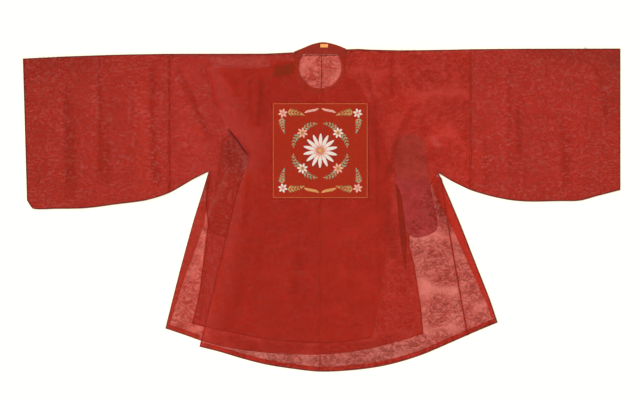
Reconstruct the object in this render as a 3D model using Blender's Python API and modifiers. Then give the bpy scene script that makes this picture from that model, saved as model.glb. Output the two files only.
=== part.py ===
"""Round-collared robe of red silk gauze, laid out flat with its front up.

Left and right are the viewer's, looking down on the front.  The back lies on the surface, the
inner front on the back, and the outer front with its overlap on top.  Metres, +Z up; the origin
is under the middle of the spread robe.
"""
import math

import bpy
import bmesh

# Cloth and seams
WALL = 0.0010            # the gauze with its sizing, as a solid wall
SEAM = 0.0003            # gap between two pieces sewn edge to edge
REST = WALL + 0.0004     # one cloth lying on another, from underside to underside
CELL = 0.045             # spacing of the cloth's own grid
HEM_CELL = 0.090         # the same along the hem facing
FLAT_CELL = 0.500        # and where the cloth lies flat
CENTRE_BACK = -0.003     # seam between the two back widths
CENTRE_FRONT = -0.010    # seam between the outer front and its overlap

# Heights of the undersides
ON_FLOOR = 0.0
ON_BACK = REST
INNER = 2 * REST         # inner front and inner overlap, over the underarm patches
OUTER = 3 * REST         # outer front and outer overlap, over the inner ones

# Shoulder and sleeve
FOLD_INSIDE = (INNER - WALL) / 2     # inside radius of the fold along shoulder and sleeve top
FOLD_STEPS = 4
FOLD_TAIL = 0.012        # cloth past the fold on the underside, up to the back piece
SLEEVE_RINGS = 15        # from the sleeve seam to the cuff
SLEEVE_CELLS = 10        # across the upper cloth of a sleeve
SEAM_LEFT = -0.638       # sleeve seams
SEAM_RIGHT = 0.621
CUFF_LEFT = -1.245       # top corners of the cuffs
CUFF_RIGHT = 1.245
ARMPIT_LEFT = (-0.471, 0.147)
ARMPIT_RIGHT = (0.488, 0.141)

# Neck and collar
NECK_CENTRE = (-0.006, 0.583)
NECK_RADIUS = 0.089
NECK_BACK = 0.635        # straight edge of the back neck
NECK_BACK_END = -0.067   # where it ends at the left
NECK_CHORD = NECK_BACK + 0.002       # edge of the collar along it
COLLAR_BAND = 0.020
COLLAR_PEAK = 0.6865     # top of the standing part at the centre back
NECK_STEP = 11.25        # degrees between the points of the round neck
COLLAR_WALL = 0.0016     # the band is doubled
COLLAR_LEFT = NECK_CENTRE[0] - NECK_RADIUS - COLLAR_BAND
COLLAR_RIGHT = NECK_CENTRE[0] + NECK_RADIUS + COLLAR_BAND
COLLAR_TOP = ((COLLAR_RIGHT, 0.659), (0.079, 0.669), (0.046, 0.680), (0.004, COLLAR_PEAK),
              (-0.038, 0.678), (-0.075, 0.663), (COLLAR_LEFT, 0.647))
COLLAR_SIDES = (0.600, 0.620, 0.635)  # points down the collar's straight sides
TAB_ROOT = COLLAR_LEFT - SEAM
TAB_UPPER = ((TAB_ROOT, 0.604), (-0.165, 0.590), (-0.197, 0.584))
TAB_LOWER = ((-0.150, 0.545), (TAB_ROOT, 0.560))
TAB_END = (-0.188, 0.556)            # centre of its round end
TAB_END_RADIUS = 0.016
LABEL_LEFT = -0.005
LABEL_BOTTOM = 0.6645
LABEL_WIDTH = 0.032
LABEL_HEIGHT = 0.014

# Badge
BADGE_LEFT = -0.204
BADGE_BOTTOM = 0.035
BADGE_SIDE = 0.398

# Facings and hem
HEM_FACING = ((0.0, 0.020), (1.0, 0.020))
SIDE_FACING = ((0.00, 0.030), (0.20, 0.047), (0.45, 0.036), (0.65, 0.025), (1.00, 0.014))
FLAP_FACING = ((0.00, 0.040), (0.10, 0.050), (0.19, 0.045), (0.29, 0.041), (0.42, 0.034), (0.52, 0.030),
               (0.70, 0.024), (1.00, 0.014))
# width of the side facings, by how far down the slit
FACING_INSET = 0.001     # from the edge of the cloth
BACK_FACING_LINE = ((-0.507, 0.030), (-0.530, -0.045), (-0.596, -0.286), (-0.647, -0.485))
FLAP_FACING_LINE = ((0.4915, 0.129), (0.515, 0.075), (0.571, -0.055), (0.638, -0.226), (0.705, -0.397),
                    (0.724, -0.460))
BACK_HEM_FACING = (-0.648, -0.513)   # ends of the hem facings
FRONT_HEM_FACING = (-0.506, 0.728)

RED_GAUZE = (0.300, 0.018, 0.010)
RED_DOUBLE = (0.230, 0.012, 0.006)
GREY_MAUVE = (0.190, 0.070, 0.065)
BADGE_RED = (0.270, 0.016, 0.008)
OLIVE_DARK = (0.070, 0.022, 0.012)
LABEL_YELLOW = (0.700, 0.250, 0.080)

# Edges of the robe, as (x, y) points that a smooth line passes through
SHOULDER_LEFT = ((-1.245, 0.618), (-1.063, 0.627), (-0.863, 0.634), (-0.638, 0.638), (-0.229, 0.639),
                 (-0.104, 0.645))
SHOULDER_RIGHT = ((0.100, 0.656), (0.154, 0.658), (0.204, 0.655), (0.329, 0.652), (0.621, 0.657),
                  (0.830, 0.659), (1.245, 0.660))
UNDER_SLEEVE_LEFT = ((-1.227, 0.026), (-1.206, -0.006), (-1.097, -0.008), (-0.980, -0.005), (-0.863, 0.010),
                     (-0.730, 0.028), (-0.638, 0.057), (-0.530, 0.118), ARMPIT_LEFT)
UNDER_SLEEVE_RIGHT = (ARMPIT_RIGHT, (0.538, 0.110), (0.621, 0.070), (0.671, 0.054), (0.738, 0.037),
                      (0.805, 0.026), (0.872, 0.022), (0.988, 0.024), (1.076, 0.026), (1.151, 0.046),
                      (1.245, 0.070))
BACK_SIDE_LEFT = (ARMPIT_LEFT, (-0.496, 0.064), (-0.530, -0.045), (-0.596, -0.286), (-0.651, -0.507))
BACK_HEM = ((-0.651, -0.507), (-0.563, -0.537), (-0.505, -0.558), (-0.404, -0.585), (-0.234, -0.608),
            (CENTRE_BACK, -0.616), (0.163, -0.599), (0.296, -0.568), (0.425, -0.530))
BACK_SIDE_RIGHT = ((0.425, -0.530), (0.416, -0.428), (0.386, -0.236), (0.367, -0.153), (0.375, -0.078),
                   (0.430, 0.047), ARMPIT_RIGHT)
INNER_SIDE = (ARMPIT_LEFT, (-0.484, 0.010), (-0.475, -0.074), (-0.484, -0.141), (-0.513, -0.374),
              (-0.540, -0.487))
INNER_HEM = ((-0.540, -0.487), (-0.492, -0.500), (-0.234, -0.552), (-0.120, -0.563),
             (CENTRE_FRONT, -0.569), (0.100, -0.562), (0.213, -0.545))
INNER_FREE_EDGE = ((0.213, -0.545), (0.270, -0.200), (0.285, 0.026), (0.272, 0.235), (0.215, 0.402),
                   (0.150, 0.510), (0.081, 0.566))
OUTER_ARMHOLE = ((-0.480, 0.581), (-0.455, 0.477), (-0.396, 0.331), (-0.346, 0.264), (-0.309, 0.210),
                 (-0.311, 0.181), (-0.325, 0.156))
OVERLAP_TOP = ((-0.221, 0.581), (-0.212, 0.606))
OUTER_FREE_CORNER = (-0.509, -0.583)
OUTER_HEM = (OUTER_FREE_CORNER, (-0.430, -0.603), (-0.329, -0.633), (-0.229, -0.658), (-0.129, -0.674),
             (CENTRE_FRONT, -0.687), (0.138, -0.680), (0.271, -0.660), (0.404, -0.622), (0.538, -0.566),
             (0.638, -0.522), (0.734, -0.482))
OUTER_SIDE = ((0.734, -0.482), (0.705, -0.395), (0.638, -0.224), (0.571, -0.053), (0.505, 0.101),
              ARMPIT_RIGHT)
FLAP_SEAM = ((0.494, 0.120), (0.520, -0.053), (0.600, -0.510), (0.607, -0.5366))
FLAP_TIP = (0.4965, 0.1235)
PATCH_RIGHT = ((0.304, 0.235), (0.325, 0.285), (0.371, 0.304), (0.421, 0.285), (0.446, 0.139),
               (0.463, 0.035), (0.480, -0.097), (0.384, -0.128), (0.336, -0.080), (0.313, 0.080))
PATCH_MIDDLE = 0.006     # half way between the two underarm patches

# Soft folds of the upper cloth: a ridge from head to foot, its height and half its width
FOLDS = (
    # head_x, head_y, foot_x, foot_y, height, half_width
    (-1.050, 0.570, -1.070, 0.040, 0.0050, 0.060),
    (-0.915, 0.600, -0.925, 0.060, 0.0060, 0.070),
    (-0.720, 0.600, -0.705, 0.080, 0.0050, 0.060),
    (-0.560, 0.560, -0.545, 0.170, 0.0060, 0.060),
    (-0.262, 0.520, -0.265, 0.300, 0.0060, 0.050),
    (0.228, 0.500, 0.222, 0.350, 0.0045, 0.050),
    (0.290, 0.620, 0.300, 0.420, 0.0040, 0.050),
    (0.450, 0.500, 0.345, 0.300, 0.0060, 0.060),
    (0.560, 0.560, 0.470, 0.220, 0.0050, 0.060),
    (0.690, 0.330, 0.690, 0.090, 0.0060, 0.060),
    (0.800, 0.610, 0.810, 0.100, 0.0060, 0.065),
    (1.000, 0.600, 0.995, 0.080, 0.0055, 0.065),
    (1.140, 0.590, 1.180, 0.330, 0.0060, 0.060),
    (-0.120, -0.150, -0.150, -0.520, 0.0045, 0.070),
    (0.120, -0.100, 0.160, -0.520, 0.0045, 0.070),
    (-0.330, -0.080, -0.400, -0.500, 0.0045, 0.060),
    (0.440, -0.200, 0.480, -0.470, 0.0035, 0.060),
)


def clear_scene():
    for item in list(bpy.data.objects):
        bpy.data.objects.remove(item, do_unlink=True)


def make_material(name, colour, roughness):
    material = bpy.data.materials.new(name)
    material.use_nodes = True
    shader = material.node_tree.nodes["Principled BSDF"]
    shader.inputs["Base Color"].default_value = (*colour, 1.0)
    shader.inputs["Roughness"].default_value = roughness
    shader.inputs["Metallic"].default_value = 0.0
    return material


# Lines and outlines ------------------------------------------------------------------------------

def smooth_line(points, spacing=CELL):
    """A smooth line through the points, sampled about every spacing; short parts beside long ones
    don't overshoot, as the slope at a point leans towards the shorter part."""
    chords = [math.dist(a, b) for a, b in zip(points, points[1:])]
    slopes = [[(d - c) / chord for c, d in zip(a, b)] for a, b, chord in zip(points, points[1:], chords)]
    tangents = [slopes[0]]
    for k in range(1, len(chords)):
        share = chords[k] / (chords[k - 1] + chords[k])
        tangents.append([a * share + b * (1.0 - share) for a, b in zip(slopes[k - 1], slopes[k])])
    tangents.append(slopes[-1])
    line = []
    for k, chord in enumerate(chords):
        steps = max(1, round(chord / spacing))
        for j in range(steps):
            t = j / steps
            rise = t * t * (3.0 - 2.0 * t)
            leave = min(chord, chords[max(k - 1, 0)]) * t * (1.0 - t) ** 2
            arrive = -min(chord, chords[min(k + 1, len(chords) - 1)]) * t * t * (1.0 - t)
            line.append(tuple(
                a + (b - a) * rise + u * leave + v * arrive
                for a, b, u, v in zip(points[k], points[k + 1], tangents[k], tangents[k + 1])))
    line.append(tuple(points[-1]))
    return line


def along(points, x):
    """Height y of a line of points, which runs towards +X, at x."""
    for (x0, y0), (x1, y1) in zip(points, points[1:]):
        if x <= x1:
            break
    part = min(max((x - x0) / (x1 - x0), 0.0), 1.0)
    return y0 + (y1 - y0) * part


def arc(centre, radius, start, end, steps):
    """Points of a circle's arc, angles in degrees."""
    points = []
    for k in range(steps + 1):
        angle = math.radians(start + (end - start) * k / steps)
        points.append((centre[0] + radius * math.cos(angle), centre[1] + radius * math.sin(angle)))
    return points


def reversed_line(points):
    return list(reversed(points))


def from_x(points, low=-9.0, high=9.0):
    """The part of a line between two values of x, cut exactly there."""
    cut = []
    for (x0, y0), (x1, y1) in zip(points, points[1:]):
        for edge in sorted((low, high), reverse=x1 < x0):
            if min(x0, x1) < edge < max(x0, x1):
                cut.append((edge, y0 + (y1 - y0) * (edge - x0) / (x1 - x0)))
        if low <= x1 <= high:
            cut.append((x1, y1))
    if low <= points[0][0] <= high:
        cut.insert(0, points[0])
    return cut


def rectangle(left, bottom, width, height):
    return [(left, bottom), (left + width, bottom), (left + width, bottom + height), (left, bottom + height)]


def drop(points, inset):
    """A line moved towards -Y."""
    return [(x, y - inset) for x, y in points]


def mirrored(points):
    return [(-x, y) for x, y in points]


def distance_to(points, x, y):
    """Shortest distance from a place to a line of points."""
    best = 9.0
    for (x0, y0), (x1, y1) in zip(points, points[1:]):
        dx = x1 - x0
        dy = y1 - y0
        part = ((x - x0) * dx + (y - y0) * dy) / (dx * dx + dy * dy)
        part = min(max(part, 0.0), 1.0)
        best = min(best, math.hypot(x - x0 - dx * part, y - y0 - dy * part))
    return best


def ease(value):
    """0 below 0, 1 above 1, and a soft slope between."""
    value = min(max(value, 0.0), 1.0)
    return value * value * (3.0 - 2.0 * value)


# How high the cloth lies -------------------------------------------------------------------------

def folds(x, y):
    """Height that the soft folds add; a fold fades out at both ends."""
    height = 0.0
    for head_x, head_y, foot_x, foot_y, rise, half_width in FOLDS:
        dx = foot_x - head_x
        dy = foot_y - head_y
        part = ((x - head_x) * dx + (y - head_y) * dy) / (dx * dx + dy * dy)
        if 0.0 < part < 1.0:
            away = math.hypot(x - head_x - dx * part, y - head_y - dy * part) / half_width
            if away < 1.0:
                fade = ease(4.0 * min(part, 1.0 - part))
                height += rise * fade * (0.5 + 0.5 * math.cos(math.pi * away))
    return height


def seam_closeness(line, x, y):
    """1 on an underarm seam, where front and back meet, and 0 a hand's breadth away."""
    return 1.0 - ease(distance_to(line, x, y) / 0.060)


def level(height):
    """Flat cloth, everywhere at one height."""
    return lambda x, y: height


def inner_height(x, y):
    """The inner front: free folds only where the outer overlap leaves it bare."""
    bare = ease((ARMPIT_LEFT[0] - 0.030 - x) / 0.060)
    seam = seam_closeness(UNDER_SLEEVE_LEFT, x, y) * bare
    return INNER - (INNER - ON_BACK) * seam + folds(x, y) * bare * (1.0 - seam)


def outer_height(x, y):
    """The outer front: over the inner layers in the middle, down on the surface at side and hem."""
    to_side = ease((x - 0.330) / 0.120)
    below_armpit = ease((ARMPIT_RIGHT[1] - 0.020 - y) / 0.160)
    side_level = INNER - (INNER - ON_BACK) * below_armpit
    level = OUTER + (side_level - OUTER) * to_side
    from_hem = ease((distance_to(OUTER_HEM, x, y) - 0.026) / 0.044)
    level = ON_BACK + (level - ON_BACK) * from_hem
    seam = seam_closeness(UNDER_SLEEVE_RIGHT, x, y) * ease((x - ARMPIT_RIGHT[0] - 0.030) / 0.060)
    level = ON_BACK + (level - ON_BACK) * (1.0 - seam)
    calm = ease((distance_to(OUTER_HEM, x, y) - 0.050) / 0.080)
    return level + folds(x, y) * calm


def under_outer(x, y):
    return outer_height(x, y) - REST


def on_outer(x, y):
    return outer_height(x, y) + REST


# Making the pieces -------------------------------------------------------------------------------

def sheet_mesh(outline, height, cell=CELL):
    """The underside of one flat piece, cut along the cloth's grid and laid at its height."""
    sheet = bmesh.new()
    ring = [sheet.verts.new((x, y, 0.0)) for x, y in outline]
    sheet.faces.new(ring)
    sheet.normal_update()
    for axis in (0, 1):
        low = min(point[axis] for point in outline)
        high = max(point[axis] for point in outline)
        normal = (1.0 - axis, axis, 0.0)
        for k in range(math.ceil(low / cell), math.floor(high / cell) + 1):
            place = (k * cell * normal[0], k * cell * normal[1], 0.0)
            bmesh.ops.bisect_plane(sheet, geom=sheet.verts[:] + sheet.edges[:] + sheet.faces[:],
                                   dist=0.0005, plane_co=place, plane_no=normal)
    for vertex in sheet.verts:
        vertex.co.z = height(vertex.co.x, vertex.co.y)
    bmesh.ops.recalc_face_normals(sheet, faces=sheet.faces[:])
    if sum(face.normal.z for face in sheet.faces) < 0:
        bmesh.ops.reverse_faces(sheet, faces=sheet.faces[:])
    return sheet


def add_piece(name, mesh, collection, material, wall=WALL):
    """A named object from a surface; Solidify gives the wall on the outer side."""
    data = bpy.data.meshes.new(name)
    mesh.to_mesh(data)
    mesh.free()
    data.materials.append(material)
    piece = bpy.data.objects.new(name, data)
    collection.objects.link(piece)
    solid = piece.modifiers.new("wall", "SOLIDIFY")
    solid.thickness = wall
    solid.offset = 1.0
    solid.use_even_offset = True
    return piece


def roll_over_shoulder(sheet, shoulder):
    """Carry the top edge round the fold and a little way back on the underside."""
    rolled = [edge for edge in sheet.edges if edge.is_boundary
              and all(abs(v.co.y - along(shoulder, v.co.x)) < 0.0008 for v in edge.verts)]
    roots = {}
    for edge in rolled:
        for vertex in edge.verts:
            roots[vertex] = (vertex.co.y, vertex.co.z)
    places = []
    for k in range(1, FOLD_STEPS + 1):
        angle = math.pi * k / FOLD_STEPS
        places.append((math.sin(angle), math.cos(angle), 0.0))
    places.append((0.0, -1.0, FOLD_TAIL))
    edges = rolled
    carried = {vertex: vertex for vertex in roots}
    for side, up, tail in places:
        grown = bmesh.ops.extrude_edge_only(sheet, edges=edges)["geom"]
        fresh = [item for item in grown if isinstance(item, bmesh.types.BMVert)]
        moved = {}
        for vertex in fresh:
            source = min(carried, key=lambda old: (old.co - vertex.co).length)
            moved[vertex] = carried[source]
        for vertex, root in moved.items():
            y, z = roots[root]
            radius = (z - WALL) / 2
            vertex.co.y = y + radius * side - tail
            vertex.co.z = WALL + radius + radius * up
        carried = moved
        edges = [item for item in grown if isinstance(item, bmesh.types.BMEdge)]
    sheet.normal_update()


def neck_line(start, end, extra=SEAM):
    """Front neckline, sewn to the outside of the collar band."""
    steps = round((end - start) / NECK_STEP)
    return arc(NECK_CENTRE, NECK_RADIUS + COLLAR_BAND + extra, start, end, steps)


def make_sleeve(name, seam_x, cuff_x, top_line, bottom_line, collection, material):
    """A flattened tube: rings from the sleeve seam to the cuff, open at both ends."""
    way = 1.0 if cuff_x > seam_x else -1.0
    bottom_points = sorted(bottom_line)
    corner_x = bottom_points[0][0] if way < 0 else bottom_points[-1][0]
    turn_x = bottom_points[1][0] if way < 0 else corner_x
    places = [seam_x + (turn_x - seam_x) * k / (SLEEVE_RINGS - 1) for k in range(SLEEVE_RINGS)]
    if corner_x != turn_x:
        places.append(corner_x)
    tube = bmesh.new()
    rings = []
    for x in places:
        slant = (cuff_x - corner_x) * (x - seam_x) / (corner_x - seam_x)
        top = along(top_line, x + slant) - FOLD_INSIDE - WALL
        bottom = along(bottom_points, x) + FOLD_INSIDE + WALL
        middle = WALL + FOLD_INSIDE
        ring = [(bottom, WALL), (top, WALL)]
        for k in range(1, FOLD_STEPS):
            angle = math.pi * k / FOLD_STEPS
            ring.append((top + FOLD_INSIDE * math.sin(angle), middle - FOLD_INSIDE * math.cos(angle)))
        for k in range(SLEEVE_CELLS + 1):
            y = top + (bottom - top) * k / SLEEVE_CELLS
            ring.append((y, INNER))
        for k in range(1, FOLD_STEPS):
            angle = math.pi * k / FOLD_STEPS
            ring.append((bottom - FOLD_INSIDE * math.sin(angle), middle + FOLD_INSIDE * math.cos(angle)))
        verts = []
        for y, z in ring:
            rise = (y - bottom) / (top - bottom)
            place = x + slant * min(max(rise, 0.0), 1.0)
            lift = folds(place, y) if z == INNER and 0.02 < rise < 0.98 else 0.0
            verts.append(tube.verts.new((place, y, z + lift)))
        rings.append(verts)
    for first, second in zip(rings, rings[1:]):
        for k in range(len(first)):
            after = (k + 1) % len(first)
            tube.faces.new((first[k], first[after], second[after], second[k]))
    bmesh.ops.recalc_face_normals(tube, faces=tube.faces[:])
    upper = max(tube.faces, key=lambda face: face.calc_center_median().z)
    if upper.normal.z < 0:
        bmesh.ops.reverse_faces(tube, faces=tube.faces[:])
    return add_piece(name, tube, collection, material)


def make_backs(collection, material):
    """Two widths under everything, meeting at the centre back."""
    fold_left = drop(SHOULDER_LEFT, FOLD_INSIDE + WALL + FOLD_TAIL + SEAM)
    fold_right = drop(SHOULDER_RIGHT, FOLD_INSIDE + WALL + FOLD_TAIL + SEAM)
    half = SEAM / 2
    hem = smooth_line(BACK_HEM)
    left = [(CENTRE_BACK - half, NECK_BACK), (NECK_BACK_END, NECK_BACK)]
    left += reversed_line(from_x(fold_left, SEAM_LEFT, COLLAR_LEFT - SEAM))
    left += from_x(smooth_line(UNDER_SLEEVE_LEFT), SEAM_LEFT)
    left += smooth_line(BACK_SIDE_LEFT)[1:]
    left += from_x(hem, -9.0, CENTRE_BACK - half)[1:]
    right = [(CENTRE_BACK + half, NECK_BACK)]
    right += from_x(hem, CENTRE_BACK + half)
    right += smooth_line(BACK_SIDE_RIGHT)[1:]
    right += from_x(smooth_line(UNDER_SLEEVE_RIGHT), -9.0, SEAM_RIGHT)[1:]
    right += reversed_line(from_x(fold_right, COLLAR_RIGHT + SEAM, SEAM_RIGHT))
    right += [(COLLAR_RIGHT + SEAM, NECK_BACK)]
    add_piece("back_left", sheet_mesh(left, level(ON_FLOOR), FLAT_CELL), collection, material)
    add_piece("back_right", sheet_mesh(right, level(ON_FLOOR), FLAT_CELL), collection, material)


def make_fronts(collection, material):
    """Inner and outer fronts, their overlaps and the side flap."""
    top_left = drop(SHOULDER_LEFT, FOLD_INSIDE + WALL)
    top_right = drop(SHOULDER_RIGHT, FOLD_INSIDE + WALL)
    half = SEAM / 2

    inner = neck_line(180, 270)
    inner = from_x(inner, -9.0, CENTRE_FRONT - half)
    inner += reversed_line(from_x(smooth_line(INNER_HEM), -9.0, CENTRE_FRONT - half))
    inner += reversed_line(smooth_line(INNER_SIDE))[1:]
    inner += reversed_line(from_x(smooth_line(UNDER_SLEEVE_LEFT), SEAM_LEFT + SEAM))[1:]
    inner += from_x(top_left, SEAM_LEFT + SEAM, COLLAR_LEFT - SEAM)
    sheet = sheet_mesh(inner, inner_height)
    roll_over_shoulder(sheet, top_left)
    add_piece("front_inner", sheet, collection, material)

    overlap = neck_line(270, 348.75)
    overlap = from_x(overlap, CENTRE_FRONT + half)
    overlap += reversed_line(smooth_line(INNER_FREE_EDGE))
    overlap += reversed_line(from_x(smooth_line(INNER_HEM), CENTRE_FRONT + half))[1:]
    add_piece("overlap_inner", sheet_mesh(overlap, level(INNER), FLAT_CELL), collection, material)

    hem = smooth_line(OUTER_HEM)
    seam = smooth_line(FLAP_SEAM)
    outer = reversed_line(neck_line(270, 360))
    outer = from_x(outer, CENTRE_FRONT + half)
    outer += from_x(hem, CENTRE_FRONT + half, seam[-1][0] - half)
    outer += [(x - half, y) for x, y in reversed_line(seam)]
    outer += from_x(smooth_line(UNDER_SLEEVE_RIGHT), -9.0, SEAM_RIGHT - SEAM)
    outer += reversed_line(from_x(top_right, COLLAR_RIGHT + SEAM, SEAM_RIGHT - SEAM))
    sheet = sheet_mesh(outer, outer_height)
    roll_over_shoulder(sheet, top_right)
    add_piece("front_outer", sheet, collection, material)

    over = neck_line(180, 270)
    over = from_x(over, -9.0, CENTRE_FRONT - half)
    over += reversed_line(from_x(hem, -9.0, CENTRE_FRONT - half))
    over += reversed_line(smooth_line(OUTER_ARMHOLE, 0.03))
    over += [*OVERLAP_TOP, (COLLAR_LEFT - SEAM, OVERLAP_TOP[1][1])]
    add_piece("overlap_outer", sheet_mesh(over, outer_height), collection, material)

    flap = [(x + half, y) for x, y in seam]
    flap += from_x(hem, seam[-1][0] + half)
    flap += smooth_line(OUTER_SIDE)[1:-1]
    flap += [FLAP_TIP]
    add_piece("front_flap", sheet_mesh(flap, outer_height), collection, material)


def strip_beside(line, widths, start=0.0):
    """Outline of a strip on the left hand of a line; widths are (part of the line, width) pairs."""
    outer = []
    inner = []
    last = len(line) - 1
    for k, (x, y) in enumerate(line):
        x0, y0 = line[max(k - 1, 0)]
        x1, y1 = line[min(k + 1, last)]
        length = math.hypot(x1 - x0, y1 - y0)
        side = (-(y1 - y0) / length, (x1 - x0) / length)
        width = along(widths, k / last)
        outer.append((x + side[0] * start, y + side[1] * start))
        inner.append((x + side[0] * (start + width), y + side[1] * (start + width)))
    return outer + reversed_line(inner)


def make_facings(collection, material):
    """Strips turned to the inside: on top of the back, and underneath the outer front."""
    outline = strip_beside(smooth_line(BACK_FACING_LINE), SIDE_FACING, FACING_INSET)
    add_piece("facing_back_side", sheet_mesh(outline, level(ON_BACK), FLAT_CELL), collection, material)
    hem = drop(from_x(smooth_line(BACK_HEM), *BACK_HEM_FACING), -FACING_INSET)
    outline = strip_beside(hem, HEM_FACING)
    add_piece("facing_back_hem", sheet_mesh(outline, level(ON_BACK), FLAT_CELL), collection, material)
    outline = strip_beside(mirrored(smooth_line(FLAP_FACING_LINE)), FLAP_FACING, FACING_INSET)
    add_piece("facing_front_side", sheet_mesh(mirrored(outline), under_outer), collection, material)
    hem = drop(from_x(smooth_line(OUTER_HEM), *FRONT_HEM_FACING), -FACING_INSET)
    outline = strip_beside(hem, HEM_FACING)
    add_piece("facing_front_hem", sheet_mesh(outline, under_outer, HEM_CELL), collection, material)


def make_underarm(collection, material):
    """Reinforcing pieces with a round top; the left one mirrors the right."""
    right = smooth_line(PATCH_RIGHT + PATCH_RIGHT[:1])[:-1]
    add_piece("underarm_right", sheet_mesh(right, under_outer), collection, material)
    left = [(2 * PATCH_MIDDLE - x, y) for x, y in right]
    add_piece("underarm_left", sheet_mesh(left, level(ON_BACK), FLAT_CELL), collection, material)


def collar_height(x, y):
    """Level with the outer front, down on to the back at the shoulder, and on the surface behind it."""
    to_back = ease((y - NECK_CENTRE[1]) / (NECK_BACK - NECK_CENTRE[1]))
    behind = min(max((y - NECK_BACK) / (COLLAR_PEAK - NECK_BACK), 0.0), 1.0)
    return (OUTER + (ON_BACK - OUTER) * to_back) * (1.0 - behind)


def make_collar(collection, band, tab, label):
    """A ring: an even band round the front, a crescent behind the straight back neck."""
    outer = smooth_line(COLLAR_TOP, 0.02)
    outer += [(COLLAR_LEFT, y) for y in reversed(COLLAR_SIDES)]
    outer += neck_line(180, 360, 0.0)
    outer += [(COLLAR_RIGHT, y) for y in COLLAR_SIDES]
    chord = math.degrees(math.asin((NECK_CHORD - NECK_CENTRE[1]) / NECK_RADIUS))
    inner = arc(NECK_CENTRE, NECK_RADIUS, 180 - chord, 360 + chord, 24)
    ring = bmesh.new()
    loops = []
    for line in (outer, inner):
        verts = [ring.verts.new((x, y, collar_height(x, y))) for x, y in line]
        loops += [ring.edges.new((verts[k], verts[(k + 1) % len(verts)])) for k in range(len(verts))]
    bmesh.ops.triangle_fill(ring, edges=loops, use_beauty=True)
    bmesh.ops.recalc_face_normals(ring, faces=ring.faces[:])
    if sum(face.normal.z for face in ring.faces) < 0:
        bmesh.ops.reverse_faces(ring, faces=ring.faces[:])
    add_piece("collar", ring, collection, band, COLLAR_WALL)

    strap = [*TAB_UPPER, *arc(TAB_END, TAB_END_RADIUS, 150, 270, 5), *TAB_LOWER]
    add_piece("collar_tab", sheet_mesh(strap, on_outer, FLAT_CELL), collection, tab)

    slip = rectangle(LABEL_LEFT, LABEL_BOTTOM, LABEL_WIDTH, LABEL_HEIGHT)
    sheet = sheet_mesh(slip, lambda x, y: collar_height(x, y) + COLLAR_WALL + 2 * SEAM, FLAT_CELL)
    add_piece("neck_label", sheet, collection, label)


def make_badge(collection, material):
    """A square applied to the chest, on the outer front's own points."""
    square = rectangle(BADGE_LEFT, BADGE_BOTTOM, BADGE_SIDE, BADGE_SIDE)
    add_piece("badge", sheet_mesh(square, on_outer), collection, material)


def main():
    clear_scene()
    robe = bpy.data.collections.new("round_collar_robe")
    bpy.context.scene.collection.children.link(robe)
    gauze = make_material("red_gauze", RED_GAUZE, 0.6)
    doubled = make_material("red_gauze_doubled", RED_DOUBLE, 0.6)
    mauve = make_material("grey_mauve_silk", GREY_MAUVE, 0.7)
    badge_red = make_material("badge_silk", BADGE_RED, 0.5)
    olive = make_material("tab_silk", OLIVE_DARK, 0.6)
    paper = make_material("label_paper", LABEL_YELLOW, 0.7)

    make_backs(robe, gauze)
    make_fronts(robe, gauze)
    make_sleeve("sleeve_left", SEAM_LEFT - SEAM, CUFF_LEFT, SHOULDER_LEFT, UNDER_SLEEVE_LEFT, robe, gauze)
    make_sleeve("sleeve_right", SEAM_RIGHT + SEAM, CUFF_RIGHT, SHOULDER_RIGHT, UNDER_SLEEVE_RIGHT, robe, gauze)
    make_facings(robe, doubled)
    make_underarm(robe, mauve)
    make_collar(robe, doubled, olive, paper)
    make_badge(robe, badge_red)


main()
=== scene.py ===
"""Looks of the round-collared robe of red silk gauze, laid out flat with its front up.

Left and right are the viewer's, looking down on the front.  Metres, +Z up, in the frame of the
solids: every cloth is a thin shell on the place of its solid, so the sizes of the cut are theirs.
"""
import math
import random

import bmesh
import bpy
import numpy as np
from mathutils import Matrix, Vector


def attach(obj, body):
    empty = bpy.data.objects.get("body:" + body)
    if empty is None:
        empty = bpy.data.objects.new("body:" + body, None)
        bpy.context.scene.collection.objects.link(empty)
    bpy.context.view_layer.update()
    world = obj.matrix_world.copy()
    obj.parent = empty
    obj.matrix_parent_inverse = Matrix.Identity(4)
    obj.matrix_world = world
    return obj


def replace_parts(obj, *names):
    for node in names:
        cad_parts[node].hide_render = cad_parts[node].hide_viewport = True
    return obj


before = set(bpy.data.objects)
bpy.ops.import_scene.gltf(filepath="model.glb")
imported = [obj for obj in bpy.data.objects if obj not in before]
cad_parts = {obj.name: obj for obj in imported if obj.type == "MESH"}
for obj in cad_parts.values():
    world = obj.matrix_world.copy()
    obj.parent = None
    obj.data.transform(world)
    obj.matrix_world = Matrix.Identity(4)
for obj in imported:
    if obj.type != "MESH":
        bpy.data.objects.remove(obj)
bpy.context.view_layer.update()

# Cloth ------------------------------------------------------------------------------------------
WALL = 0.0010            # the solid wall, which sets how the layers are stacked
GAUZE = 0.0006           # the gauze itself
SEAM = 0.0003            # gap between two pieces sewn edge to edge
REST = WALL + 0.0004     # one cloth lying on another, from underside to underside
FINE = 0.0075            # cloth's own grid where it shows
COARSE = 0.020           # and where it is hidden or lies flat
ON_FLOOR = 0.0
ON_BACK = REST
INNER = 2 * REST
OUTER = 3 * REST
FAR = 9.0                # beyond every edge
CENTRE_BACK = -0.003
CENTRE_FRONT = -0.010

# Shoulder and sleeve
FOLD_INSIDE = (INNER - WALL) / 2
FOLD_STEPS = 6
FOLD_TAIL = 0.012
SLEEVE_UPPER_STEPS = 84
SLEEVE_UNDER_STEPS = 28
SEAM_LEFT = -0.638
SEAM_RIGHT = 0.621
CUFF_LEFT = -1.245
CUFF_RIGHT = 1.245
ARMPIT_LEFT = (-0.471, 0.147)
ARMPIT_RIGHT = (0.488, 0.141)

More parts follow.
